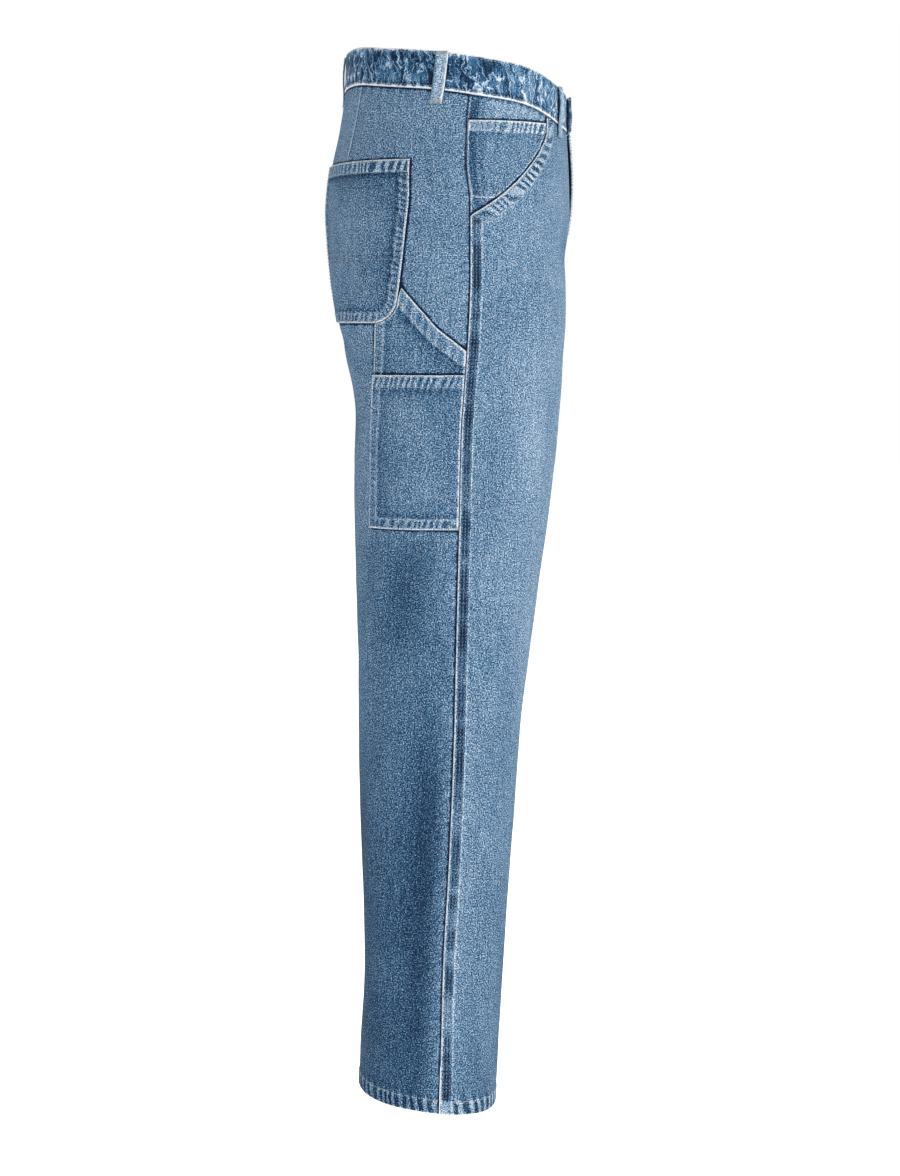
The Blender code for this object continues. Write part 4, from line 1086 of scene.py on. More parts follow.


# The belt loops, which the band's painted shadows need too.
LOOP_WIDTH = 0.012
LOOP_LENGTH = 0.050
BELT_LOOPS = (
    # node, side, width at the top, lean of the foot, height of the top
    ("belt_loop_side_right", "right", -0.0267, -0.0055, 0.0270),
    ("belt_loop_side_left", "left", -0.0267, -0.0055, 0.0270),
    ("belt_loop_front_right", "right", 0.1215, 0.0055, 0.0000),
    ("belt_loop_front_left", "left", 0.1215, 0.0055, 0.0000),
    ("belt_loop_back", "right", None, 0.0, 0.0360),
)
denim_band = denim("denim waistband", grain=0.60, crackle=0.48)
band_rings = []
band_map = []
band_wash_and_shade = []
band_edge = []
band_cycles = []
band_ropes = []
run = 0.0
for side, start, finish, steps, shares, outs in BAND_STRETCHES:
    skin = right_skin if side == "right" else left_skin
    last = side == "right" and finish > 0
    for share in np.linspace(start, finish, steps, endpoint=last):
        top = smooth_table(WAIST_TOP[:, 0], WAIST_TOP[:, 1], share)
        ups = np.array([p[0] for p in BAND_PROFILE])
        heights = top - BAND_HEIGHT + SEAM / 2 + ups
        widths = skin.width_at_share(share, heights)
        run = float(widths[8]) * skin.sign + (1.0 if side == "left" else 0.0)
        bent = (run + 0.0034 * patchy(run / 0.012, ups / 0.010, 305)
                + 0.0020 * patchy(run / 0.005, ups / 0.006, 306))
        cycles, strength = puckers(bent, ups, 0.0088, 301, slant=0.10)
        small = patchy(run / 0.0046, ups / 0.0062, 303)
        fine = patchy(run / 0.0024, ups / 0.0036, 304)
        near_rows = np.exp(-((ups - 0.004) / 0.007) ** 2) + np.exp(-((ups - 0.033) / 0.006) ** 2)
        outer = np.arange(len(ups)) < 17
        front = float(ease(0.0, 0.06, widths[8]))
        puff = (0.50 + 0.50 * near_rows) * (1 - 0.60 * front)
        broken = 0.65 + 0.35 * patchy(run / 0.010, ups / 0.013, 307)
        strength = np.where(outer, strength * puff * broken, 0.0)
        rise = 0.00036 * ridges((cycles, strength))
        out = BAND_STANDS_OUT + np.array([p[1] for p in BAND_PROFILE]) + np.interp(share, shares, outs)
        points, _ = skin.place(widths, heights, out + rise)
        band_rings.append(points)
        band_map.append(np.stack([np.full(ups.shape, run), ups], axis=-1))
        high = ease(0.010, 0.016, ups) * (1 - ease(0.030, 0.034, ups))
        wash = 0.20 * small + 0.14 * fine - 0.10 - 0.26 * high * (1 - front)
        wash = wash + 0.20 * front
        # Painted shadow of each belt loop on the band beside it.
        for loop_node, loop_side, loop_width, lean, loop_top in BELT_LOOPS:
            if loop_side == side and loop_width is not None:
                middle = loop_width + lean * (loop_top - heights) / LOOP_LENGTH
                from_loop = np.abs(widths - middle) - LOOP_WIDTH / 2
                wash = wash - 0.9 * np.exp(-np.clip(from_loop, 0, 1) / 0.0016)
        wash = wash + 0.62 * np.exp(-((ups - 0.0368) / 0.0012) ** 2)
        wash = wash + 0.80 * np.exp(-((ups - 0.0008) / 0.0013) ** 2)
        wash = wash - 0.45 * np.exp(-((ups - 0.0034) / 0.0014) ** 2)
        band_wash_and_shade.append(np.where(outer | (ups > 0.0355), wash, 0.25))
        band_edge.append(np.where(ups < 0.02, ups, 0.0369 - ups) * 1000 + 0.2)
        band_cycles.append(cycles)
        band_ropes.append(0.8 * strength)
waistband = loft("waistband_cloth", np.array(band_rings),
                 finish_values(np.array(band_wash_and_shade), np.array(band_edge), np.full(np.shape(band_wash_and_shade), 50.0),
                               (np.array(band_cycles), np.array(band_ropes))),
                 np.array(band_map), (denim_band,))
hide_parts("waistband")
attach(waistband, "root")
band_length = float(sum(np.linalg.norm(b[8] - a[8]) for a, b in zip(band_rings[:-1], band_rings[1:])))


def band_line(skin, up, start, finish, out):
    """A sewn row along the waistband, from one share to another."""
    shares = np.linspace(start, finish, 110)
    heights = smooth_table(WAIST_TOP[:, 0], WAIST_TOP[:, 1], shares) - BAND_HEIGHT + up
    extra = np.interp(shares, (-1.0, 0.7, 0.8, 0.9, 1.0), out)
    return skin.place(skin.width_at_share(shares, heights), heights, BAND_STANDS_OUT + extra + 0.00022)


rows = []
for up in (0.0030, 0.0345):
    rows.append(band_line(right_skin, up, -1.0, 0.90, (0.0, 0.0, -0.0002, -0.0008, -0.0013)))
    rows.append(band_line(left_skin, up, -1.0, 1.0, (0.0, 0.0, 0.0006, 0.0013, 0.0017)))
sew("waistband_stitches", rows, pale_thread)


# The belt loops. Five folded strips of denim, 12 mm wide, sewn down at the top of the waistband and below
# its seam with bar tacks. One folded edge of each has worn almost white and carries a painted highlight,
# and the other is darkened with painted shade.
LOOP_WALL = 0.0011
LOOP_PROFILE = (
    # part of the width from the middle, and height over the strip's underside, in walls
    (-0.50, 0.55), (-0.47, 1.10), (-0.40, 1.30), (-0.30, 1.14), (-0.15, 1.00), (0.0, 1.02), (0.15, 1.00),
    (0.30, 1.14), (0.40, 1.30), (0.47, 1.10), (0.50, 0.55), (0.42, 0.02), (0.0, 0.0), (-0.42, 0.02),
)
denim_trim = denim("denim trim", tone=0.10, grain=0.9)
for number, (node, side, top_width, lean, top_height) in enumerate(BELT_LOOPS):
    skin = right_skin if side == "right" else left_skin
    rings = []
    wash = []
    edge = []
    tacks = []
    centre = top_width is None
    share = -1.0 if centre else float(skin.read(skin.shares, top_width, top_height))
    seam = float(smooth_table(WAIST_TOP[:, 0], WAIST_TOP[:, 1], share)) - BAND_HEIGHT
    parts = np.concatenate([np.linspace(0, 0.08, 6), np.linspace(0.08, 0.92, 26)[1:],
                            np.linspace(0.92, 1.0, 6)[1:]])
    for part in parts:
        height = top_height - 0.001 - part * LOOP_LENGTH
        down = top_height - height
        band = BAND_HEIGHT / LOOP_LENGTH
        bow = 0.0013 * np.sin(np.pi * min(part / band, 1.0))
        level = BAND_STANDS_OUT + 0.00042 + bow - float(ease(band, 1.0, part)) * 0.00065
        asides = np.array([p[0] for p in LOOP_PROFILE]) * LOOP_WIDTH
        walls = np.array([p[1] for p in LOOP_PROFILE])
        pinch = 1.0 - 0.25 * (float(ease(0.045, 0.0, part)) + float(ease(0.955, 1.0, part)))
        puff = 0.10 * patchy(part * 7.0, asides / 0.004, 400 + number)
        outs = level + LOOP_WALL * (walls * pinch + np.where(walls > 0.9, puff, 0))
        if centre:
            middle = float(skin.end(height, False))
            widths = middle + np.abs(asides)
            points, _ = skin.place(widths, height, outs)
            points[:, 0] = np.where(asides < 0, points[:, 0], -points[:, 0])
        else:
            points, _ = skin.place(top_width + lean * part + asides, height, outs)
        rings.append(points)
        flecks = patchy(asides / 0.0022, part * 24, 410 + number) * 0.30
        # One folded edge is made paler, worn with a painted highlight, and the other darker with painted
        # shade.
        folded = np.exp(-((np.abs(asides) - 0.0050) / 0.0012) ** 2)
        ends = float(ease(0.10, 0.02, part)) + float(ease(0.90, 0.98, part))
        wash.append(0.06 + flecks + 0.22 * folded * (asides > 0) - 0.30 * folded * (asides < 0) + 0.20 * ends)
        edge.append((0.5 * LOOP_WIDTH - asides) * 1000 + 0.5)
        if part < 0.07 or part > 0.93:
            across = np.linspace(-0.40, 0.40, 9) * LOOP_WIDTH
            if centre:
                line, normals = skin.place(middle + np.abs(across), height, level + LOOP_WALL * 1.3)
                line[:, 0] = np.where(across < 0, line[:, 0], -line[:, 0])
                normals[:, 0] = np.where(across < 0, normals[:, 0], -normals[:, 0])
            else:
                line, normals = skin.place(top_width + lean * part + across, height,
                                           level + LOOP_WALL * 1.3 * pinch)
            tacks.append((line, normals))
    rings = np.array(rings)
    rings = rings[:, ::-1] if skin.sign > 0 else rings
    wash = np.array(wash)[:, ::-1] if skin.sign > 0 else np.array(wash)
    edge = np.array(edge)[:, ::-1] if skin.sign > 0 else np.array(edge)
    strip_map = np.stack([np.broadcast_to(np.linspace(0, 0.026, rings.shape[1]), rings.shape[:2]),
                          np.broadcast_to(parts[:, None] * LOOP_LENGTH, rings.shape[:2])], axis=-1)
    loop = loft(f"{node}_cloth", rings, finish_values(wash, edge, np.full(wash.shape, 50.0)), strip_map,
                (denim_trim,))
    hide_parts(node)
    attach(loop, "root")
    sew(f"{node}_tacks", tacks, pale_thread, pitch=0.0012, length=0.0016, radius=0.00026)


# The front pockets. Behind each scooped mouth lies a facing of the same denim, and on the right one a
# small coin pocket, hemmed at the top with two rows.
PATCH = 0.0011
COIN_TOP = -0.0395
COIN_BOTTOM = -0.1140


def patch(name, skin, outline, level, wall, relief, materials, pitch=0.0024, under=()):
    """A flat-cut piece over an outline. relief gives rise, wash with painted shade, and puckers from the
    place, the distance from the outline and the run along it. Under are lines beside which a shadow is
    painted on it."""
    border = []
    for (w0, h0), (w1, h1) in zip(outline, outline[1:] + outline[:1]):
        pieces = max(int(np.ceil(np.hypot(w1 - w0, h1 - h0) / pitch)), 1)
        border += [(w0 + (w1 - w0) * k / pieces, h0 + (h1 - h0) * k / pieces) for k in range(pieces)]
    border = np.array(border)
    closed = [tuple(p) for p in outline] + [tuple(outline[0])]
    turning = np.sum(border[:, 0] * np.roll(border[:, 1], -1) - np.roll(border[:, 0], -1) * border[:, 1])
    ahead = np.roll(border, -1, axis=0) - np.roll(border, 1, axis=0)
    inward = np.stack([-ahead[:, 1], ahead[:, 0]], axis=1) * np.sign(turning)
    inward /= np.linalg.norm(inward, axis=1, keepdims=True)
    flat = [border]
    for step in (0.0006, 0.0013, 0.0024):
        shifted = border + inward * step
        gap = line_distance(closed, shifted[:, 0], shifted[:, 1])[0]
        flat.append(shifted[(gap > 0.93 * step) & inside(outline, shifted[:, 0], shifted[:, 1])])
    low = border.min(axis=0)
    high = border.max(axis=0)
    grid_w, grid_h = np.meshgrid(np.arange(low[0], high[0], pitch), np.arange(low[1], high[1], pitch))
    gap = line_distance(closed, grid_w, grid_h)[0]
    kept = inside(outline, grid_w, grid_h) & (gap > 0.0024 + pitch * 0.5)
    flat.append(np.stack([grid_w[kept], grid_h[kept]], axis=1))
    flat = np.concatenate(flat)
    edges = [(k, (k + 1) % len(border)) for k in range(len(border))]
    flat, _, faces, *_ = delaunay_2d_cdt([tuple(p) for p in flat], edges, [], 0, 1e-7)
    flat = np.array([tuple(p) for p in flat])
    faces = np.array([tuple(f) for f in faces])
    middles = flat[faces].mean(axis=1)
    faces = faces[inside(outline, middles[:, 0], middles[:, 1])]
    used, numbers = np.unique(faces, return_inverse=True)
    flat = flat[used]
    faces = numbers.reshape(faces.shape)
    if skin.sign < 0:
        faces = faces[:, ::-1]
    gap, run = line_distance(closed, flat[:, 0], flat[:, 1])
    rise, wash, zone = relief(flat[:, 0], flat[:, 1], gap, run)
    points, _ = skin.place(flat[:, 0], flat[:, 1], level + rise)
    contact = np.full(len(flat), 0.05)
    for line in under:
        contact = np.minimum(contact, line_distance(line, flat[:, 0], flat[:, 1])[0])
    values = finish_values(wash, gap * 1000, contact * 1000, zone)
    item = cloth_object(name, points, faces.tolist(), flat, values, wall, materials)
    size = high - low
    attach(item, "root")
    area = min(abs(float(turning)) / 2, float(size[0] * size[1]))
    return item, (float(size[0]), float(size[1])), area


def seam_line(skin, start, finish, below):
    """Places along the waist seam, from one share to another."""
    shares = np.linspace(start, finish, 14)
    heights = smooth_table(WAIST_TOP[:, 0], WAIST_TOP[:, 1], shares) - BAND_HEIGHT - below
    return list(zip(skin.width_at_share(shares, heights).tolist(), heights.tolist()))


FACING_UNDER = 0.014
coin_top_line = ((0.0010, COIN_TOP + 0.0003), (SCOOP[0, 0], COIN_TOP + 0.0003))
coin_shadow = {"right": (coin_top_line,), "left": ()}
denim_pockets = denim("denim pockets", tone=-0.155)
for skin in (right_skin, left_skin):
    outline = [(SEAM, SCOOP[-1, 1] - 0.020), (0.030, SCOOP[-1, 1] - 0.012)]
    outline += [(w + FACING_UNDER * 0.7, h - FACING_UNDER * 0.7) for w, h in SCOOP[-2:1:-1].tolist()]
    outline.append((SCOOP[1, 0] + FACING_UNDER, SCOOP[1, 1]))
    start = float(skin.read(skin.shares, SCOOP[1, 0] + FACING_UNDER, -0.03))
    outline += seam_line(skin, start, float(skin.read(skin.shares, SEAM, -0.02)), SEAM / 2)

    def facing_relief(width, height, gap, run):
        below = skin.band_seam(width, height) - height
        band = 1 - ease(0.0095, 0.0108, width)
        stripe = np.exp(-((width - 0.0140) / 0.0016) ** 2)
        cycles, strength = puckers(width, below, 0.0095, 500)
        zone = (cycles, 0.6 * strength * np.exp(-below / 0.006))
        blotches = patchy(height / 0.018, height * 0, 505)
        from_scoop = line_distance(SCOOP.tolist(), width, height)[0]
        shaded = np.exp(-from_scoop / 0.0022)
        wash = 0.20 + band * (-0.62 + 0.24 * blotches) - 0.44 * stripe - 0.30 * shaded
        return 0.0005 * band + 0.0002 * ridges(zone), wash, zone

    facing, size, area = patch(f"pocket_facing_{skin.side}_cloth", skin, outline, -CLOTH - SEAM, PATCH,
                               facing_relief, (denim_outside, denim_inside),
                               under=(SCOOP.tolist(), seam_line(skin, 0.9, 0.001, 0.0))
                               + coin_shadow[skin.side])
    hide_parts(f"pocket_facing_{skin.side}")
    mouth = [(float(scoop_width(h)), h) for h in np.linspace(-0.044, SCOOP[-1, 1], 40)]
    mouth = np.array(mouth)
    ahead = np.gradient(mouth, axis=0)
    away = np.stack([-ahead[:, 1], ahead[:, 0]], axis=1) / np.hypot(*ahead.T)[:, None]
    rows = []
    for aside in (0.0022, 0.0118):
        line = mouth + away * aside
        line = line[line[:, 0] > SEAM]
        rows.append(row(skin, line, 0.0008))
    sew(f"scoop_stitches_{skin.side}", rows, pale_thread)

coin_edge = [(float(w) - 0.0012, float(h) + 0.0006) for w, h in SCOOP[1:] if COIN_BOTTOM < h < COIN_TOP]
coin_outline = [(0.0010, COIN_BOTTOM), (0.0010, COIN_TOP), (SCOOP[0, 0] - 0.0012, COIN_TOP)]
coin_outline += coin_edge
coin_outline.append((float(np.interp(-COIN_BOTTOM, -SCOOP[1:, 1], SCOOP[1:, 0])) - 0.003, COIN_BOTTOM))


def coin_relief(width, height, gap, run):
    from_top = COIN_TOP - height
    on_hem = 1 - ease(0.0095, 0.0110, from_top)
    cycles, strength = puckers(width, from_top, 0.0066, 520)
    foot = np.exp(-np.clip(height - COIN_BOTTOM, 0, 1) / 0.004)
    from_scoop = line_distance(SCOOP.tolist(), width, height)[0]
    shaded = np.exp(-from_scoop / 0.0022)
    band = 1 - ease(0.0095, 0.0108, width)
    blotches = patchy(height / 0.016, height * 0, 525)
    under = np.exp(-np.clip(from_top - 0.0102, 0, 1) / 0.004) * (1 - on_hem)
    forward = 0.25 + 0.75 * ease(0.020, 0.055, width)
    zone = (cycles, strength * (forward * on_hem + 0.5 * under + 0.4 * foot) * ease(0.0, 0.0016, from_top))
    # Below the hem the cloth is darkened with painted shade.
    wash = 0.12 * on_hem - 0.34 * under - 0.30 * shaded + 0.4 * np.exp(-((from_top - 0.0100) / 0.0011) ** 2)
    wash = wash + band * (-0.46 + 0.20 * blotches) * (1 - on_hem)
    wash = wash + 0.16 - 0.44 * np.exp(-((width - 0.0140) / 0.0016) ** 2) * (1 - on_hem)
    return 0.0002 * on_hem + 0.00018 * ridges(zone) * on_hem - 0.0001, wash, zone


coin, size, area = patch("coin_pocket_cloth", right_skin, coin_outline, -CLOTH + PATCH, PATCH - 0.0001,
                         coin_relief, (denim_pockets, denim_inside), under=(SCOOP.tolist(),))
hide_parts("coin_pocket")
rows = []
for down in (0.0022, 0.0100):
    rows.append(row(right_skin, [(0.004, COIN_TOP - down), (0.092, COIN_TOP - down - 0.004)], -0.0002))
for up in (0.0022, 0.0072):
    rows.append(row(right_skin, [(0.004, COIN_BOTTOM + up), (0.034, COIN_BOTTOM + up)], -0.0002))
sew("coin_pocket_stitches", rows, pale_thread)


# The back pockets. Patches of denim with a hem at the top, sewn round with two rows, and with two more
# level rows across. Their edges have worn white, and the hollows beside the rows and under the hem carry
# painted shade.
POCKET_HEM = 0.0120
POCKET_ROWS = (-0.166, -0.172)


def pocket_relief(skin, seed):
    def relief(width, height, gap, run):
        from_top = POCKET_TOP - height
        on_hem = 1 - ease(POCKET_HEM - 0.001, POCKET_HEM + 0.001, from_top)
        below_hem = np.exp(-np.clip(from_top - POCKET_HEM, 0, 1) / 0.004) * (1 - on_hem)
        on_side = (1 - ease(0.0080, 0.0105, gap)) * (1 - on_hem)
        outer = (1 - ease(0.0125, 0.017, gap)) * (1 - on_hem) * (1 - on_side)
        level = sum(np.exp(-((height - h) / 0.0022) ** 2) for h in POCKET_ROWS)
        cycles, strength = puckers(width, from_top, 0.0072, seed)
        hem_zone = (cycles, strength * (0.85 * on_hem + 0.5 * below_hem) * ease(0.0008, 0.0024, from_top))
        cycles, strength = puckers(run, gap, 0.0066, seed + 1)
        side_zone = (cycles, strength * (0.65 * on_side + 0.35 * outer) * ease(0.0010, 0.0030, gap))
        cycles, strength = puckers(width, height, 0.010, seed + 2)
        zone = strongest(hem_zone, side_zone, (cycles, 0.28 * strength * level))
        middle = ease(0.015, 0.045, gap)
        mottled = 0.07 * patchy(width / 0.03, height / 0.035, seed + 3)
        rise = 0.0005 * on_hem + 0.0004 * on_side + 0.00025 * ridges(zone)
        rise = rise + 0.0006 * middle * patchy(width / 0.05, height / 0.06, seed + 4)
        rise = rise + 0.0005 - 0.00025 * level + rounded(gap, 0.0006)
        # Under the hem, inside the side band and in the hollows beside the rows: painted shade.
        wash = 0.10 * on_hem - 0.30 * below_hem + 0.02 * on_side - 0.14 * outer
        wash = wash + pale_row_and_shade(from_top, POCKET_HEM) + pale_row_and_shade(gap, 0.0088) * (1 - on_hem)
        wash = wash + 0.08 * middle + mottled - 0.10 * level
        return rise, wash, zone
    return relief


for skin in (right_skin, left_skin):
    seed = 600 if skin.side == "right" else 640
    pocket, size, area = patch(f"back_pocket_{skin.side}_cloth", skin, pocket_outline(), SEAM + PATCH, PATCH,
                               pocket_relief(skin, seed), (denim_pockets, denim_inside))
    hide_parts(f"back_pocket_{skin.side}")
    level = SEAM + PATCH + 0.0012
    rows = [row(skin, pocket_outline(-inset)[1:] + pocket_outline(-inset)[:1], level)
            for inset in (0.0020, 0.0085)]
    (near_top, _), (far_top, _) = POCKET_SIDES
    for down in (0.0020, POCKET_HEM):
        rows.append(row(skin, [(near_top - 0.002, POCKET_TOP - down), (far_top + 0.002, POCKET_TOP - down)],
                        level))
    for height in POCKET_ROWS:
        rows.append(row(skin, [(-0.0665, height), (-0.204, height)], level - 0.0005))
    sew(f"back_pocket_stitches_{skin.side}", rows, pale_thread)


# The tool pocket. Two patches on the back of the right leg, sewn in with the side seam: the under one
# opens at a slanted mouth beside the back pocket, and the over one at a level hem halfway down.
MOUTH_BAND = 0.0130


def tool_sides(width, height):
    """Distance from the pocket's far side and foot, the edges that show a turned fold."""
    return np.minimum(width - TOOL_SIDE, height - TOOL_BOTTOM)


def under_relief(width, height, gap, run):
    from_mouth = line_distance(TOOL_MOUTH_LINE, width, height)[0]
    on_band = 1 - ease(MOUTH_BAND - 0.001, MOUTH_BAND + 0.001, from_mouth)
    cycles, strength = puckers(width * 1.3, from_mouth, 0.0090, 701)
    below = np.exp(-np.clip(from_mouth - MOUTH_BAND, 0, 1) / 0.006) * (1 - on_band)
    side = tool_sides(width, height)
    on_side = (1 - ease(0.0085, 0.0105, side)) * (1 - on_band)
    near_seam = np.exp(-np.clip(TOOL_NEAR - width, 0, 1) / 0.007)
    mouth_zone = (cycles, strength * (0.40 * on_band + 0.3 * below) * ease(0.0010, 0.0030, from_mouth))
    cycles, strength = puckers(height, side, 0.0080, 703)
    side_zone = (cycles, 0.45 * strength * on_side * ease(0.0010, 0.0030, side))
    cycles, strength = puckers(height, width, 0.012, 705, slant=0.5)
    zone = strongest(mouth_zone, side_zone, (cycles, 0.3 * strength * near_seam))
    # Below the mouth's band the cloth is darkened with painted shade.
    wash = 0.20 * on_band - 0.24 * below + 0.02 * on_side + 0.04 * near_seam
    wash = wash + pale_row_and_shade(from_mouth, MOUTH_BAND) + pale_row_and_shade(side, 0.0095) * (1 - on_band)
    wash = wash + 0.06 * patchy(width / 0.02, height / 0.03, 707)
    rise = 0.0005 * on_band + 0.0003 * on_side + 0.00022 * ridges(zone)
    rise = rise * ease(TOOL_OVER_TOP - 0.004, TOOL_OVER_TOP + 0.004, height) + rounded(gap, 0.0006)
    return rise, wash, zone


under, size, area = patch("tool_pocket_under_cloth", right_skin, tool_under_outline(), SEAM + PATCH, PATCH,
                          under_relief, (denim_pockets, denim_inside),
                          under=(((TOOL_SIDE, TOOL_OVER_TOP), (TOOL_NEAR, TOOL_OVER_TOP)),))
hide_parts("tool_pocket_under")


def over_relief(width, height, gap, run):
    from_top = TOOL_OVER_TOP - height
    on_hem = 1 - ease(0.0105, 0.0125, from_top)
    cycles, strength = puckers(width, from_top, 0.0066, 721)
    below = np.exp(-np.clip(from_top - 0.0115, 0, 1) / 0.005) * (1 - on_hem)
    side = tool_sides(width, height)
    on_side = (1 - ease(0.0085, 0.0105, side)) * (1 - on_hem)
    near_seam = np.exp(-np.clip(TOOL_NEAR - width, 0, 1) / 0.007)
    hem_zone = (cycles, strength * (0.75 * on_hem + 0.5 * below) * ease(0.0008, 0.0024, from_top))
    cycles, strength = puckers(run, side, 0.0066, 723)
    foot = 0.25 + 0.50 * (height - TOOL_BOTTOM < width - TOOL_SIDE)
    side_zone = (cycles, foot * strength * on_side * ease(0.0010, 0.0030, side))
    cycles, strength = puckers(height, width, 0.012, 725, slant=0.5)
    zone = strongest(hem_zone, side_zone, (cycles, 0.3 * strength * near_seam))
    middle = ease(0.012, 0.035, gap)
    # Below the hem the cloth is darkened with painted shade.
    wash = 0.10 * on_hem - 0.24 * below + 0.06 * on_side + 0.04 * near_seam
    wash = wash + pale_row_and_shade(from_top, 0.0115) + pale_row_and_shade(side, 0.0092) * (1 - on_hem)
    wash = wash + 0.10 * middle + 0.08 * patchy(width / 0.025, height / 0.035, 727)
    rise = 0.0004 * on_hem + 0.0003 * on_side + 0.00025 * ridges(zone)
    rise = rise + 0.0005 + 0.0004 * middle * patchy(width / 0.04, height / 0.05, 729) + rounded(gap, 0.0006)
    return rise, wash, zone


over_outline = [(TOOL_NEAR, TOOL_BOTTOM), (TOOL_SIDE, TOOL_BOTTOM), (TOOL_SIDE, TOOL_OVER_TOP),
                (TOOL_NEAR, TOOL_OVER_TOP)]
over, size, area = patch("tool_pocket_over_cloth", right_skin, over_outline, 2 * (SEAM + PATCH), PATCH,
                         over_relief, (denim_pockets, denim_inside))
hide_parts("tool_pocket_over")
over_level = 2 * (SEAM + PATCH) + 0.0010
under_level = SEAM + PATCH + 0.0007
rows = []
for inset in (0.0020, 0.0095):
    rows.append(row(right_skin, [(TOOL_SIDE + inset, TOOL_OVER_TOP), (TOOL_SIDE + inset, TOOL_BOTTOM + inset),
                                 (TOOL_NEAR - 0.002, TOOL_BOTTOM + inset)], over_level))
    rows.append(row(right_skin, [(TOOL_SIDE + inset, POCKET_BOTTOM - 0.002),
                                 (TOOL_SIDE + inset, TOOL_OVER_TOP + 0.001)], under_level))
for down in (0.0020, 0.0115):
    rows.append(row(right_skin, [(TOOL_SIDE + 0.002, TOOL_OVER_TOP - down),
                                 (TOOL_NEAR - 0.002, TOOL_OVER_TOP - down)], over_level))
mouth = np.array(TOOL_MOUTH_LINE)
for down in (0.0026, MOUTH_BAND):
    rows.append(row(right_skin, mouth - np.array((0.0, down * 1.25)), under_level))
sew("tool_pocket_stitches", rows, pale_thread)


# The fly. The left front's flap hides the zip: its tape, its slider at the top, and the denim shield
# behind it. A curved double row on the flap holds them.
def strip_outline(skin, from_end, to_end, bottom):
    top = float(skin.band_seam(skin.end(-0.04), -0.04)) - SEAM
    heights = np.linspace(top, bottom, 16)
    one = [(float(skin.end(h)) + from_end, float(h)) for h in heights]
    two = [(float(skin.end(h)) + to_end, float(h)) for h in heights[::-1]]
    return one + two


def plain_relief(width, height, gap, run):
    cycles, strength = puckers(height, gap, 0.010, 801)
    return rounded(gap, 0.0002), np.zeros(gap.shape), (cycles, 0.3 * strength * np.exp(-gap / 0.004))


tape_look = denim("zip tape", tone=-0.40, grain=0.35)
tape_level = -CLOTH - SEAM
tape, size, area = patch("zip_tape_cloth", left_skin,
                         strip_outline(left_skin, -0.020, 0.010, FLY_BOTTOM + 0.012),
                         tape_level, 0.0010, plain_relief, (tape_look,))
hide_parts("zip_tape")
shield, size, area = patch("fly_shield_cloth", left_skin,
                           strip_outline(left_skin, -0.034, 0.016, FLY_BOTTOM + 0.004),
                           tape_level - 0.0010 - SEAM, PATCH, plain_relief, (denim_inside,))
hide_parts("fly_shield")


def metal(name, colour, dark, roughness):
    made = bpy.data.materials.new(name)
    made.use_nodes = True
    shade = Shade(made.node_tree)
    place = shade.node("ShaderNodeTexCoord", {}, {}, 3)
    tarnish = shade.node("ShaderNodeTexNoise", {}, {"Vector": place, "Scale": 420.0, "Detail": 3.0})
    tint = shade.node("ShaderNodeValToRGB", {"stops": ((0.38, dark), (0.62, colour))}, {"Fac": tarnish})
    surface = made.node_tree.nodes["Principled BSDF"]
    surface.inputs["Metallic"].default_value = 1.0
    rough = tarnish * 0.3 + (roughness - 0.15)
    made.node_tree.links.new(tint.socket, surface.inputs["Base Color"])
    made.node_tree.links.new(rough.socket, surface.inputs["Roughness"])
    return made


slider_look = metal("satin brass", (0.52, 0.40, 0.20, 1.0), (0.20, 0.15, 0.09, 1.0), 0.35)
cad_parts["zip_slider"].data.materials.clear()
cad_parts["zip_slider"].data.materials.append(slider_look)

FLY_CURVE = (
    # distance back from the middle, and height, of the curved row's outer line
    (-0.036, -0.044), (-0.036, -0.070), (-0.036, -0.100), (-0.035, -0.122), (-0.031, -0.140),
    (-0.024, -0.154), (-0.013, -0.164), (0.000, -0.168),
)
rows = []
for aside in (0.0, 0.0062):
    curve = [(float(left_skin.end(h)) + w + aside, h + aside * 0.6 * float(ease(-0.13, -0.16, h)))
             for w, h in FLY_CURVE]
    rows.append(row(left_skin, curve, lambda w, h: 0.0003 + fly_rise(left_skin, w, h)))
flap_edge = [(float(left_skin.end(h)) + FLY_LAP - 0.0022, h) for h in np.linspace(-0.045, -0.142, 30)]
rows.append(row(left_skin, flap_edge, lambda w, h: 0.0003 + fly_rise(left_skin, w, h)))
for skin in (right_skin, left_skin):
    middle = np.linspace(FLY_BOTTOM - 0.008, CROTCH, 16)
    if skin.side == "right":
        rows.append(row(skin, [(float(skin.end(h)) - 0.0026, h) for h in middle], 0.0004))
    seat = np.linspace(-0.006, CROTCH, 50)
    rows.append(row(skin, [(float(skin.end(h, False)) + 0.0026, h) for h in seat], 0.0009))
sew("fly_and_seat_stitches", rows, pale_thread)


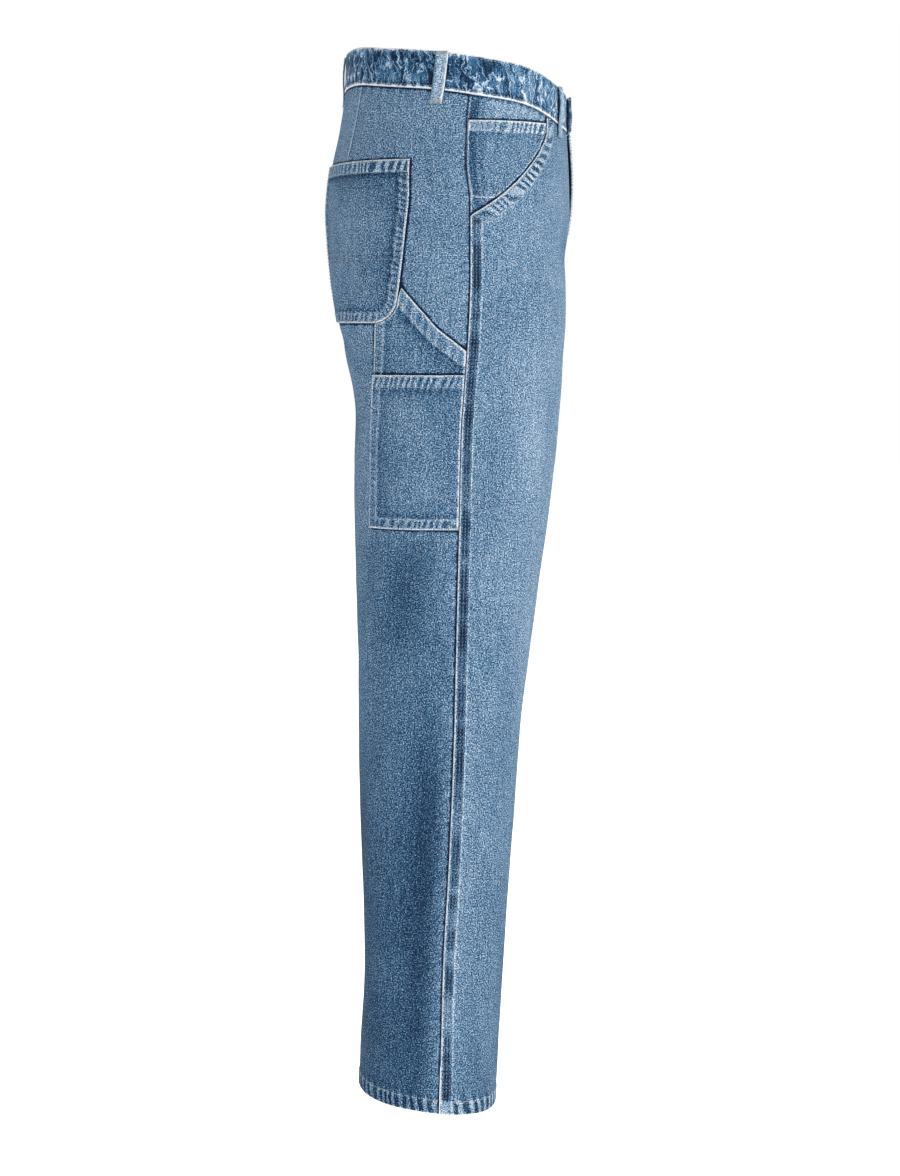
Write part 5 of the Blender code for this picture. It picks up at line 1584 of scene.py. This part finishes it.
# The button. A plain pressed brass shank button with a raised rim and a dished middle, gone dark with
# wear, through the lap of the waistband.
BUTTON_PROFILE = (
    # radius and height over the band, in metres
    (0.0, 0.0006), (0.0030, 0.0006), (0.0030, 0.0014), (0.0070, 0.0014), (0.0081, 0.0017), (0.0085, 0.0022),
    (0.0083, 0.0027), (0.0077, 0.0031), (0.0069, 0.0032), (0.0062, 0.0030), (0.0056, 0.0027),
    (0.0042, 0.0028), (0.0022, 0.0031), (0.0, 0.0032),
)
button_width = float(left_skin.end(-0.024))
seat, outwards = left_skin.place(button_width, -0.024, 0.0)
sideways = np.cross(outwards, (0.0, 0.0, 1.0))
sideways /= np.linalg.norm(sideways)
upwards = np.cross(sideways, outwards)
sides = 40
button_points = []
for radius, level in BUTTON_PROFILE[1:-1]:
    for k in range(sides):
        turn = 2 * np.pi * k / sides
        button_points.append(seat + outwards * (level + BAND_STANDS_OUT + 0.0017)
                             + radius * (sideways * np.cos(turn) + upwards * np.sin(turn)))
inner_ring = len(BUTTON_PROFILE) - 3
button_faces = [tuple(range(sides - 1, -1, -1)), tuple(inner_ring * sides + k for k in range(sides))]
for j in range(inner_ring):
    for k in range(sides):
        after = (k + 1) % sides
        button_faces.append((j * sides + k, j * sides + after, (j + 1) * sides + after, (j + 1) * sides + k))
mesh = bpy.data.meshes.new("button")
mesh.from_pydata([tuple(p) for p in button_points], [], button_faces)
mesh.shade_smooth()
mesh.materials.append(metal("worn brass", (0.34, 0.25, 0.15, 1.0), (0.10, 0.08, 0.06, 1.0), 0.42))
button = bpy.data.objects.new("button", mesh)
bpy.context.scene.collection.objects.link(button)
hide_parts("waistband_button")
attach(button, "root")


# The floor, the light and the camera. The garment is held at the waist, so its hems hang clear of the
# floor; the camera stands at its right side, where the photograph was taken from.
FLOOR = -1.16
FLOOR_LIGHT = 0.50         # what the white floor sheds on the cloth; it looks pure white itself


def paper(name, colour):
    made = bpy.data.materials.new(name)
    made.use_nodes = True
    shade = Shade(made.node_tree)
    place = shade.node("ShaderNodeTexCoord", {}, {}, 3)
    soft = shade.node("ShaderNodeTexNoise", {}, {"Vector": place, "Scale": 2.0})
    tint = shade.node("ShaderNodeValToRGB", {"stops": ((0.3, colour), (0.7, (0.90, 0.90, 0.90, 1.0)))},
                      {"Fac": soft})
    surface = made.node_tree.nodes["Principled BSDF"]
    surface.inputs["Roughness"].default_value = 0.95
    surface.inputs["Emission Color"].default_value = (1.0, 1.0, 1.0, 1.0)
    made.node_tree.links.new(tint.socket, surface.inputs["Base Color"])
    glow = shade.node("ShaderNodeLightPath") * (1.0 - FLOOR_LIGHT) + FLOOR_LIGHT
    made.node_tree.links.new(glow.socket, surface.inputs["Emission Strength"])
    return made


FLOOR_REACH = 12.0
paper_sheet = bpy.data.meshes.new("floor")
around = ((-1, -1), (1, -1), (1, 1), (-1, 1))
paper_sheet.from_pydata([(FLOOR_REACH * x, FLOOR_REACH * y, FLOOR) for x, y in around], [], [(0, 1, 2, 3)])
paper_sheet.materials.append(paper("floor paper", (0.85, 0.85, 0.86, 1.0)))
floor = bpy.data.objects.new("floor", paper_sheet)
bpy.context.scene.collection.objects.link(floor)

LIGHTS = (
    # name, place, size, power, colour
    ("key", (-1.9, -2.3, 1.2), 1.4, 55.0, (1.0, 0.99, 0.97)),
    ("fill", (-2.8, 0.8, 0.5), 1.8, 18.0, (0.96, 0.98, 1.0)),
    ("rim", (1.2, -1.6, 1.2), 1.0, 18.0, (1.0, 1.0, 1.0)),
    ("back", (0.9, 1.9, 1.0), 1.2, 14.0, (0.96, 0.98, 1.0)),
)
WORLD_LIGHT = 0.31         # what the white surroundings shed on the cloth; they look pure white themselves
for name, place, size, power, colour in LIGHTS:
    lamp = bpy.data.lights.new(name, "AREA")
    lamp.size = size
    lamp.energy = power
    lamp.color = colour
    stand = bpy.data.objects.new(name, lamp)
    stand.location = place
    aim = np.array((0.0, 0.0, -0.45)) - np.array(place)
    stand.rotation_euler = (np.arctan2(np.hypot(aim[0], aim[1]), -aim[2]), 0.0, np.arctan2(-aim[0], aim[1]))
    bpy.context.scene.collection.objects.link(stand)

world = bpy.data.worlds.new("studio")
world.use_nodes = True
sky = Shade(world.node_tree)
seen = sky.node("ShaderNodeLightPath")
strength = seen * (1.0 - WORLD_LIGHT) + WORLD_LIGHT
backdrop = world.node_tree.nodes["Background"]
backdrop.inputs["Color"].default_value = (1.0, 1.0, 1.0, 1.0)
world.node_tree.links.new(strength.socket, backdrop.inputs["Strength"])
bpy.context.scene.world = world
bpy.context.scene.view_settings.view_transform = "Standard"

CAMERA_PLACE = (-2.4, 0.00765, -0.22)
LENS = 72.0               # millimetres, for the 36 mm side that runs up the picture
HORIZON_ROW = 310         # of the picture's 1176 rows
TILT = 0.043              # radians that the camera looks down; the lens shift gives the rest
eye = bpy.data.cameras.new("camera")
eye.lens = LENS
eye.sensor_width = 36.0
eye.sensor_fit = "AUTO"
eye.shift_y = TILT * LENS / 36.0 - (1176 / 2 - HORIZON_ROW) / 1176
camera = bpy.data.objects.new("camera", eye)
camera.location = CAMERA_PLACE
camera.rotation_euler = (np.pi / 2 - TILT, 0.0, -np.pi / 2)
bpy.context.scene.collection.objects.link(camera)
bpy.context.scene.camera = camera
